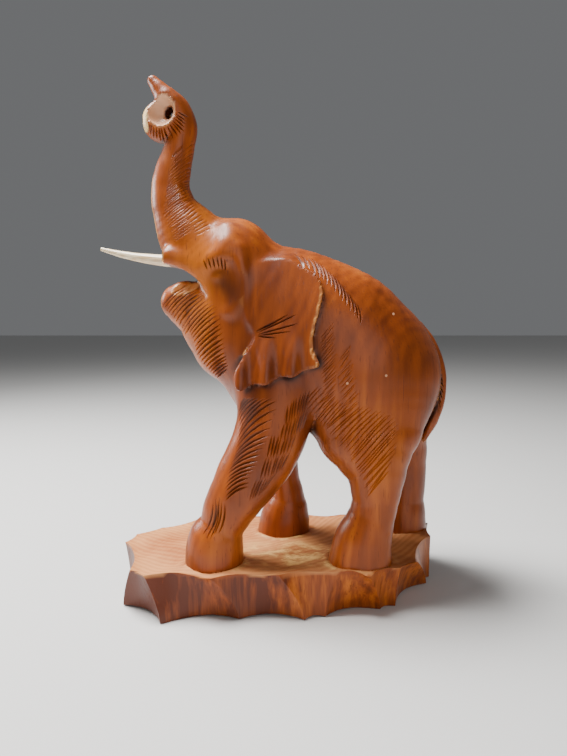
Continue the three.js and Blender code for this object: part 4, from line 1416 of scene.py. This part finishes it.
@dataclass(frozen=True)
class VarnishedWood:
    """Reddish-brown hardwood under a satin varnish, pale where it was cut last and least stained; painted
    shade darkens its cuts, hollows and low hind parts, and painted highlights and painted light brighten
    its edges, the trunk's front and the base's top.
    """

    light: Triple = (0.56, 0.140, 0.008)
    middle: Triple = (0.29, 0.056, 0.003)
    dark: Triple = (0.11, 0.017, 0.001)
    stain_and_shade: Triple = (0.030, 0.006, 0.002)
    worn: Triple = (0.78, 0.36, 0.10)
    bare: Triple = (0.64, 0.28, 0.10)
    yellow: Triple = (0.92, 0.60, 0.20)
    cut: Triple = (0.74, 0.40, 0.23)
    pale: Triple = (0.86, 0.70, 0.44)
    chips: tuple[Pair, ...] = ((0.077, 0.186), (0.048, 0.180), (0.085, 0.232))
    chip_edge: Pair = (0.0007, 0.0012)
    pith: Triple = (0.05, -0.11, 0.0)
    rings_per_metre: float = 1150.0
    dark_below: Pair = (0.06, 0.17)
    dark_behind: Pair = (0.01, 0.05)
    roughness: float = 0.38
    coat: float = 0.08
    ior: float = 1.38

    def material(self) -> Material:
        """Builds the wood.

        Returns:
            The material.
        """
        s = Shader("varnished_wood")
        waves = s.noise(s.place((1, 1, 0.35)), 14, 2, 0.5)
        from_pith = s.node("ShaderNodeMapping", {}, {
            "Vector": s.place(), "Location": self.pith, "Scale": (1.0, 1.0, 0.12)})
        radius = Value(s, s.node("ShaderNodeVectorMath", {"operation": "LENGTH"},
                                 {0: from_pith.outputs["Vector"]}).outputs["Value"])
        growth = (radius * self.rings_per_metre + waves * 22.0).sine() * 0.5 + 0.5
        rings = s.noise(s.place((1, 1, 0.10), (0.0, 0.12, 0.0)), 75, 3, 0.55, 0.5)
        pores = s.noise(s.place((1, 1, 0.045)), 620, 2, 0.6)
        blotch = s.noise(s.place((1, 1, 0.6)), 11, 3, 0.6)
        plinth = s.tinted("plinth")
        streaks = s.noise(s.place((1, 1, 0.03)), 190, 3, 0.65)
        here = s.node("ShaderNodeSeparateXYZ", {}, {"Vector": s.place()})
        x, y, z = (Value(s, here.outputs[axis]) for axis in "XYZ")
        # Painted shade: darker low down and towards the back, where the hind legs stand.
        low_behind_shade = (1.0 - z.smooth(*self.dark_below)) * x.smooth(*self.dark_behind) * (1.0 - plinth)
        tone = (rings * 0.45 + waves * 0.5 + growth * 0.05 + (blotch - 0.5) * (0.8 + plinth * 0.5)
                + (streaks - 0.5) * plinth * 0.9 - plinth * 0.15 - low_behind_shade * 0.16).clamped()
        wood = s.ramp(tone, ((0.25, self.dark), (0.5, self.middle), (0.75, self.light)))
        fine = (pores.smooth(0.58, 0.72) * 0.55).clamped()
        wood = s.mix(fine, wood, self.dark)
        # Darker in the gouge cuts: partly staining, partly painted shade.
        groove = s.tinted("groove").smooth(0.05, 0.9)
        # Painted shade in closed-in places, round the eye and in the nostril.
        hollow = s.tinted("hollow").smooth(0.12, 0.8)
        shade = (groove * 0.55 + hollow * 0.95).clamped()
        wood = s.mix(shade, wood, self.stain_and_shade)
        rub = s.noise(s.place(), 90, 3, 0.6).smooth(0.25, 0.6)
        # Lighter on edges, partly wear and partly painted highlight; painted highlight on the lip's rim
        # and the forward faces of the trunk and jaw.
        wood = s.mix(s.tinted("worn").smooth(0.25, 0.75) * rub * 0.75, wood, self.worn)
        patch = s.noise(s.place((1, 1, 0.3)), 26, 3, 0.6).smooth(0.3, 0.75)
        bare = s.tinted("bare")
        dull = s.mix(growth * 0.25 + patch * 0.55, self.bare, self.middle)
        # Pale on the base's top between the feet and round the soles: partly wear, partly painted light.
        scuffs_and_light = s.noise(s.place((1, 1.8, 1), (0.0, 0.0, 0.5)), 75, 4, 0.65)
        rubbed = s.tinted("rubbed") * scuffs_and_light.smooth(0.4, 0.7)
        wood = s.mix(bare, wood, s.mix(rubbed, dull, self.yellow))
        # Pale cut wood in the trunk's scoop, partly painted light.
        cut_wood_and_light = s.mix(patch * 0.5, self.cut, self.bare)
        wood = s.mix(s.tinted("tip"), wood, cut_wood_and_light)
        # Painted highlight on the front face of the trunk's tip, broken up by noise.
        facet = s.tinted("facet")
        torn = facet.smooth(0.02, 0.3) * (facet + (rub - 0.5) * 0.5).smooth(0.35, 0.6)
        wood = s.mix(torn * 0.85, wood, s.mix((rings * 1.2 - 0.1).clamped(), self.pale, self.yellow))
        for chip_x, chip_z in self.chips:
            away = ((x - chip_x) ** 2.0 + (z - chip_z) ** 2.0) ** 0.5
            chip = (1.0 - away.smooth(*self.chip_edge)) * (1.0 - y.smooth(-0.001, 0.001))
            wood = s.mix(chip * 0.8, wood, self.cut)
        at = s.node("ShaderNodeSeparateXYZ", {}, {"Vector": s.place((1, 1, 1), (0.0, 0.0, 0.6))})
        saw = (Value(s, at.outputs["X"]) * 1300.0 + waves * 16.0 + rings * 8.0).sine() * 0.5 + 0.5
        marks = saw * bare * patch
        normal = s.bump(rings * 0.5 + pores * 0.5, 0.25, 0.0006)
        normal = s.bump(marks, 0.22, 0.0008, normal)
        return s.finish(Base_Color=wood, Roughness=self.roughness + fine * 0.3 + bare * 0.2,
                        Coat_Weight=self.coat, Coat_Roughness=0.2, IOR=self.ior, Normal=normal)


@dataclass(frozen=True)
class PaleTusk:
    """Pale close-grained wood with warmer streaks."""

    pale: Triple = (0.87, 0.74, 0.50)
    warm: Triple = (0.62, 0.40, 0.17)

    def material(self) -> Material:
        """Builds the tusk's finish.

        Returns:
            The material.
        """
        s = Shader("pale_tusk")
        streaks = s.noise(s.place((0.05, 1, 1)), 420, 2, 0.5)
        colour = s.mix(streaks.smooth(0.35, 0.8), self.pale, self.warm)
        normal = s.bump(streaks, 0.15, 0.0003)
        return s.finish(Base_Color=colour, Roughness=0.38, Coat_Weight=0.2, Normal=normal)


@dataclass(frozen=True)
class StudioFloor:
    """A plain pale floor."""

    colour: Triple = (0.62, 0.61, 0.59)

    def material(self) -> Material:
        """Builds the floor's finish."""
        s = Shader("studio_floor")
        return s.finish(Base_Color=(*self.colour, 1.0), Roughness=0.7)


@dataclass
class Socket:
    """The round hole that a tusk's root is let into; the left one stands open."""

    mouth: Triple = (-93.0, 18.0, 240.5)
    towards_tip: Triple = (-35.2, 2.8, 2.2)
    root_diameter: float = 10.4
    depth: float = 14.0
    clearance: float = 0.3
    sides: int = 28

    def cutter(self, side: int) -> tuple[Array, Faces]:
        """Makes the closed rod that drills it.

        Args:
            side: -1 for the left side, 1 for the right.

        Returns:
            The rod's points, in squares, and its faces.
        """
        along = np.array(self.towards_tip) * (1, side, 1)
        along /= np.linalg.norm(along)
        mouth = np.array(self.mouth) * (1, side, 1)
        across = np.cross((0, 0, 1), along)
        across /= np.linalg.norm(across)
        up = np.cross(along, across)
        turn = 2 * math.pi * np.arange(self.sides) / self.sides
        spokes = np.outer(np.cos(turn), across) + np.outer(np.sin(turn), up)
        radius = self.root_diameter / 2 + self.clearance
        ends = [mouth - along * (self.depth + self.clearance), mouth + along * self.root_diameter]
        points = np.vstack([ends[0] + spokes * radius, ends[1] + spokes * radius, ends])
        n = self.sides
        faces = []
        for i in range(n):
            j = (i + 1) % n
            faces += [[i, j, n + j, n + i], [2 * n, j, i], [2 * n + 1, n + i, n + j]]
        return points, faces


@dataclass
class Marks:
    """Numbers from 0 to 1 on each point of the block, which the wood's finish reads.

    Places are in squares of the grid, and a pair is a span from low to high.
    """

    figure: Figure
    above_base: float = 3.0
    full_cut: float = 1.2
    edge_depth: float = 3.0
    looks: tuple[Pair, ...] = ((3.0, 0.35), (6.0, 0.35), (12.0, 0.3))
    floor_sink: float = 1.0
    lip_from: Pair = (-60.0, 205.0)
    lip_rim: float = 1.5
    lip_wear_and_highlight: float = 0.4
    facing_front: Pair = (-0.84, -0.97)
    trunk_z: Pair = (246.0, 334.0)
    jaw_z: Pair = (200.0, 226.0)
    jaw_x: float = -88.0
    eye: Pair = (-46.0, 218.0)
    eye_clear: float = 22.0
    eye_slant: float = 0.35
    eye_painted_shade: float = 0.46
    eye_z: float = 217.0
    eye_size: Pair = (10.0, 13.0)
    flap_x: Pair = (-44.0, 12.0)
    flap_y: float = 38.0
    flap_z: Pair = (130.0, 166.0)
    flap_wear_and_highlight: float = 0.3
    top_z: Pair = (-6.0, 3.5)
    top_facing: float = 0.7
    plinth_z: float = -0.5
    rubbed_and_lit_middle: Pair = (5.0, -22.0)
    rubbed_and_lit_size: Pair = (42.0, 24.0)
    rubbed_and_lit_full: float = 1.4
    sole_gap: float = 1.5
    sole_rim: Pair = (0.04, 0.07)

    def hollow(self, p: Array, normal: Array, on_figure: Array) -> Array:
        """Returns how closed in each point is, by looking out from it at several reaches; the finish
        paints shade there.

        Args:
            p: The points.
            normal: The directions out of the wood there.
            on_figure: Which points are on the elephant and not on the base.

        Returns:
            How closed in they are.
        """
        hollow = np.zeros(len(p))
        for reach, weight in self.looks:
            air = self.figure(p + normal * reach)
            floor = np.where(on_figure, p[:, 2] + normal[:, 2] * reach + self.floor_sink, reach)
            hollow += weight * (1 - np.clip(np.minimum(air, floor) / reach, 0, 1))
        return hollow

    def worn(self, p: Array, normal: Array, on_figure: Array) -> Array:
        """Returns where the wood is lightened: convex edges by wear and painted highlight, the lip's rim
        and the forward faces of the trunk and jaw by painted highlight.

        Args:
            p: The points.
            normal: The directions out of the wood there.
            on_figure: Which points are on the elephant and not on the base.

        Returns:
            How much lighter they are.
        """
        x, y, z = p.T
        inside = self.figure(p - normal * self.edge_depth)
        # Lighter on convex edges: partly wear, partly painted highlight.
        worn = np.where(on_figure, np.clip(1 + inside / self.edge_depth, 0, 1), 0.0)
        head = self.figure.head
        under_lip = (z < head.lip_height(x)) & (z > self.lip_from[1]) & (x < self.lip_from[0])
        # Painted highlight along the lower lip's rim.
        rim = np.exp(-(head.mouth_floor(mirrored(p)) / self.lip_rim) ** 2)
        worn = np.where(under_lip, np.maximum(worn * self.lip_wear_and_highlight, rim), worn)
        # Painted highlight on the trunk's and jaw's faces that look forward.
        leading = within(z, self.trunk_z) | (within(z, self.jaw_z) & (x < self.jaw_x))
        front = ease(*self.facing_front, normal[:, 0]) * leading
        off_eye = np.abs(x - self.eye[0]) + np.abs(z - self.eye[1]) > self.eye_clear
        worn = np.maximum(worn * off_eye, front)
        flap = within(z, self.flap_z) & (np.abs(y) > self.flap_y) & within(x, self.flap_x)
        return np.where(flap, worn * self.flap_wear_and_highlight, worn)

    def eye_shade(self, p: Array) -> Array:
        """Returns the painted shade round the eye, under the brow.

        Args:
            p: The points.

        Returns:
            How strongly they are shaded.
        """
        slant = p[:, 0] - self.eye[0] + self.eye_slant * (p[:, 2] - self.eye[1])
        across, up = self.eye_size
        return np.exp(-(slant / across) ** 2 - ((p[:, 2] - self.eye_z) / up) ** 2)

    def rubbed(self, p: Array) -> Array:
        """Returns where the top is pale from wear and painted light: between the feet and round each sole.

        Args:
            p: The points.

        Returns:
            How pale they are.
        """
        (mx, my), (a, b) = self.rubbed_and_lit_middle, self.rubbed_and_lit_size
        between = np.hypot((p[:, 0] - mx) / a, (p[:, 1] - my) / b)
        rims = np.zeros(len(p))
        at, width = self.sole_rim
        for far in self.figure.legs.away(p[:, 0], p[:, 1], self.sole_gap):
            rims = np.maximum(rims, np.exp(-((far - at) / width) ** 2))
        return np.clip(self.rubbed_and_lit_full - between + rims, 0, 1)

    def store(self, block: Object) -> None:
        """Stores every mark on the block.

        Args:
            block: The carved block.
        """
        points, corners = Mesh.read(block)
        p = to_squares(points)
        on_figure = p[:, 2] > self.above_base
        depth = np.where(on_figure, -self.figure(p), 0.0)
        normal = Mesh.point_normals(points, corners)
        trunk = self.figure.head.trunk
        # Pale cut wood in the trunk's scoop, partly painted light.
        tip = np.clip((1.0 - trunk.scoop(mirrored(p))) / 0.8, 0, 1)
        deep = np.clip(1.2 - trunk.nostril(mirrored(p)), 0, 1)
        hollow = self.hollow(p, normal, on_figure)
        top = within(p[:, 2], self.top_z) & (normal[:, 2] > self.top_facing)
        marks = {
            # Lighter edges, lip rim and trunk front: wear and painted highlight.
            "worn": self.worn(p, normal, on_figure),
            "tip": tip * (1 - deep),
            # Painted highlight on the front face of the trunk's tip.
            "facet": ease(-104.5, -110.5, p[:, 0]) * ease(336, 344, p[:, 2]) * ease(367, 362, p[:, 2]),
            "plinth": np.where(p[:, 2] < self.plinth_z, 1.0, 0.0),
            # Darker in the gouge cuts: partly staining, partly painted shade.
            "groove": np.clip(depth / self.full_cut, 0, 1),
            # Painted shade in closed-in places, round the eye and in the nostril.
            "hollow": np.clip(hollow + self.eye_painted_shade * self.eye_shade(p) + 0.5 * deep, 0, 1),
            "bare": np.where(top, 1.0, 0.0),
            # Pale top between the feet and round the soles: partly wear, partly painted light.
            "rubbed": self.rubbed(p),
        }
        for name, values in marks.items():
            Mesh.tint(block, name, values)


@dataclass
class CarvedElephant:
    """Elephant and base in one block of wood."""

    pitch: float = 1.95
    passes: int = 18
    crease: float = 34.0
    box: tuple[Sequence[float], Sequence[float]] = ((-120, -72, -12), (146, 72, 394))
    figure: Figure = field(default_factory=Figure)

    def build(self) -> Object:
        """Carves the block.

        Returns:
            The finished piece.
        """
        skin = Skin(*self.box, self.pitch)
        points, faces = outer_shell(*skin.lay(self.figure))
        points = settle(points, self.figure, self.pitch)
        LOG.info("skin: %d points, %d faces", len(points), len(faces))
        block = Mesh.piece("carved_wooden_elephant", to_metres(points), faces)
        base_points, base_faces = HewnBase(self.figure.legs).mesh()
        Mesh.combine(block, Mesh.piece("base", base_points * SQUARE, base_faces), "UNION")
        for side in (-1, 1):
            socket_points, socket_faces = Socket().cutter(side)
            tool = Mesh.piece("socket", to_metres(socket_points), socket_faces)
            Mesh.combine(block, tool, "DIFFERENCE")
        self.cut_strokes(block)
        self.drop_crumbs(block)
        self.keep_inside(block)
        Marks(self.figure).store(block)
        Mesh.soften(block, self.crease)
        block.data.materials.clear()
        block.data.materials.append(VarnishedWood().material())
        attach(block, "root")
        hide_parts("carved_elephant")
        LOG.info("carved elephant: %d triangles", len(Mesh.read(block)[1]))
        return block

    def cut_strokes(self, block: Object) -> None:
        """Cuts every stroke, in passes whose wedges lie far apart and never meet.

        Args:
            block: The block that is cut.
        """
        wedges = Gouge(self.figure).cutters(HATCHINGS)
        for passing in range(self.passes):
            points, faces, count = [], [], 0
            for wedge_points, wedge_faces in wedges[passing::self.passes]:
                faces += [[count + i for i in f] for f in wedge_faces]
                points.append(wedge_points)
                count += len(wedge_points)
            tool = Mesh.piece("strokes", to_metres(np.concatenate(points)), faces)
            Mesh.combine(block, tool, "DIFFERENCE")

    @staticmethod
    def drop_crumbs(block: Object) -> None:
        """Keeps the one closed skin and drops the crumbs that the cuts leave loose inside it.

        Args:
            block: The block, whose mesh is replaced.
        """
        points, corners = outer_shell(*Mesh.read(block))
        whole = bpy.data.meshes.new("carved_wooden_elephant")
        whole.from_pydata(points.tolist(), [], corners.tolist())
        before = block.data
        block.data = whole
        bpy.data.meshes.remove(before)

    @staticmethod
    def keep_inside(block: Object) -> None:
        """Holds every point inside the solid's box.

        Args:
            block: The block, whose points are moved.
        """
        points, _ = Mesh.read(block)
        low, high = (np.array(corner) for corner in CAD_BOX)
        block.data.vertices.foreach_set("co", np.clip(points, low, high).ravel())
        block.data.update()


@dataclass
class Tusk:
    """The one tusk that is left keeps its solid's shape."""

    node: str = "right_tusk"

    def dress(self) -> None:
        """Gives the solid its finish."""
        finish = PaleTusk().material()
        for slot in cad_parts[self.node].material_slots:
            slot.material = finish


class Lamp(Enum):
    """The studio's lamps: place, aim, size, power and share of gloss."""

    KEY = ((-0.45, 0.1, 1.2), (0.0, 0.0, 0.2), 0.6, 50.0, 0.7)
    FILL = ((0.35, -1.5, 0.75), (0.0, 0.0, 0.2), 1.2, 7.0, 0.1)
    EDGE = ((-1.1, 0.45, 0.6), (-0.05, 0.0, 0.25), 0.4, 9.0, 0.8)


@dataclass
class Studio:
    """A pale floor, soft lamps and a camera where the photograph was taken from."""

    eye: Triple = (0.0, -0.5, 0.232)
    pitch_down: float = 6.1
    focal_pixels: float = 600.0
    frame_height: float = 756.0
    sensor: float = 36.0
    floor_reach: float = 6.0
    sky: Quad = (0.95, 0.97, 1.0, 1.0)
    sky_strength: float = 0.16

    def build(self) -> None:
        """Sets up the stage."""
        r = self.floor_reach
        corners = np.array([(-r, -r, 0), (r, -r, 0), (r, r, 0), (-r, r, 0)], float)
        floor = Mesh.piece("floor", corners, [[0, 1, 2, 3]])
        floor.data.materials.append(StudioFloor().material())
        for lamp in Lamp:
            self.add_lamp(lamp)
        world = bpy.data.worlds.new("studio")
        world.use_nodes = True
        background = world.node_tree.nodes["Background"].inputs
        background["Color"].default_value = self.sky
        background["Strength"].default_value = self.sky_strength
        bpy.context.scene.world = world
        self.add_camera()

    @staticmethod
    def add_lamp(lamp: Lamp) -> None:
        """Adds one soft lamp.

        Args:
            lamp: Which lamp.
        """
        place, aim, size, power, gloss = lamp.value
        light = bpy.data.lights.new(lamp.name.lower(), "AREA")
        light.size = size
        light.energy = power
        light.specular_factor = gloss
        made = bpy.data.objects.new(lamp.name.lower(), light)
        made.location = place
        made.rotation_euler = (Vector(aim) - Vector(place)).to_track_quat("-Z", "Y").to_euler()
        bpy.context.scene.collection.objects.link(made)

    def add_camera(self) -> None:
        """Adds the camera, as long as the photograph's perspective asks."""
        lens = bpy.data.cameras.new("camera")
        lens.sensor_width = self.sensor
        lens.lens = self.focal_pixels / self.frame_height * lens.sensor_width
        lens.clip_start = 0.01
        made = bpy.data.objects.new("camera", lens)
        made.location = self.eye
        made.rotation_euler = (math.radians(90 - self.pitch_down), 0.0, 0.0)
        bpy.context.scene.collection.objects.link(made)
        bpy.context.scene.camera = made


def main() -> None:
    """Builds the pieces in order."""
    logging.basicConfig(level=logging.INFO, format="%(message)s")
    CarvedElephant().build()
    Tusk().dress()
    LOG.info("tusk dressed")
    Studio().build()
    LOG.info("studio ready")


if __name__ == "__main__":
    main()
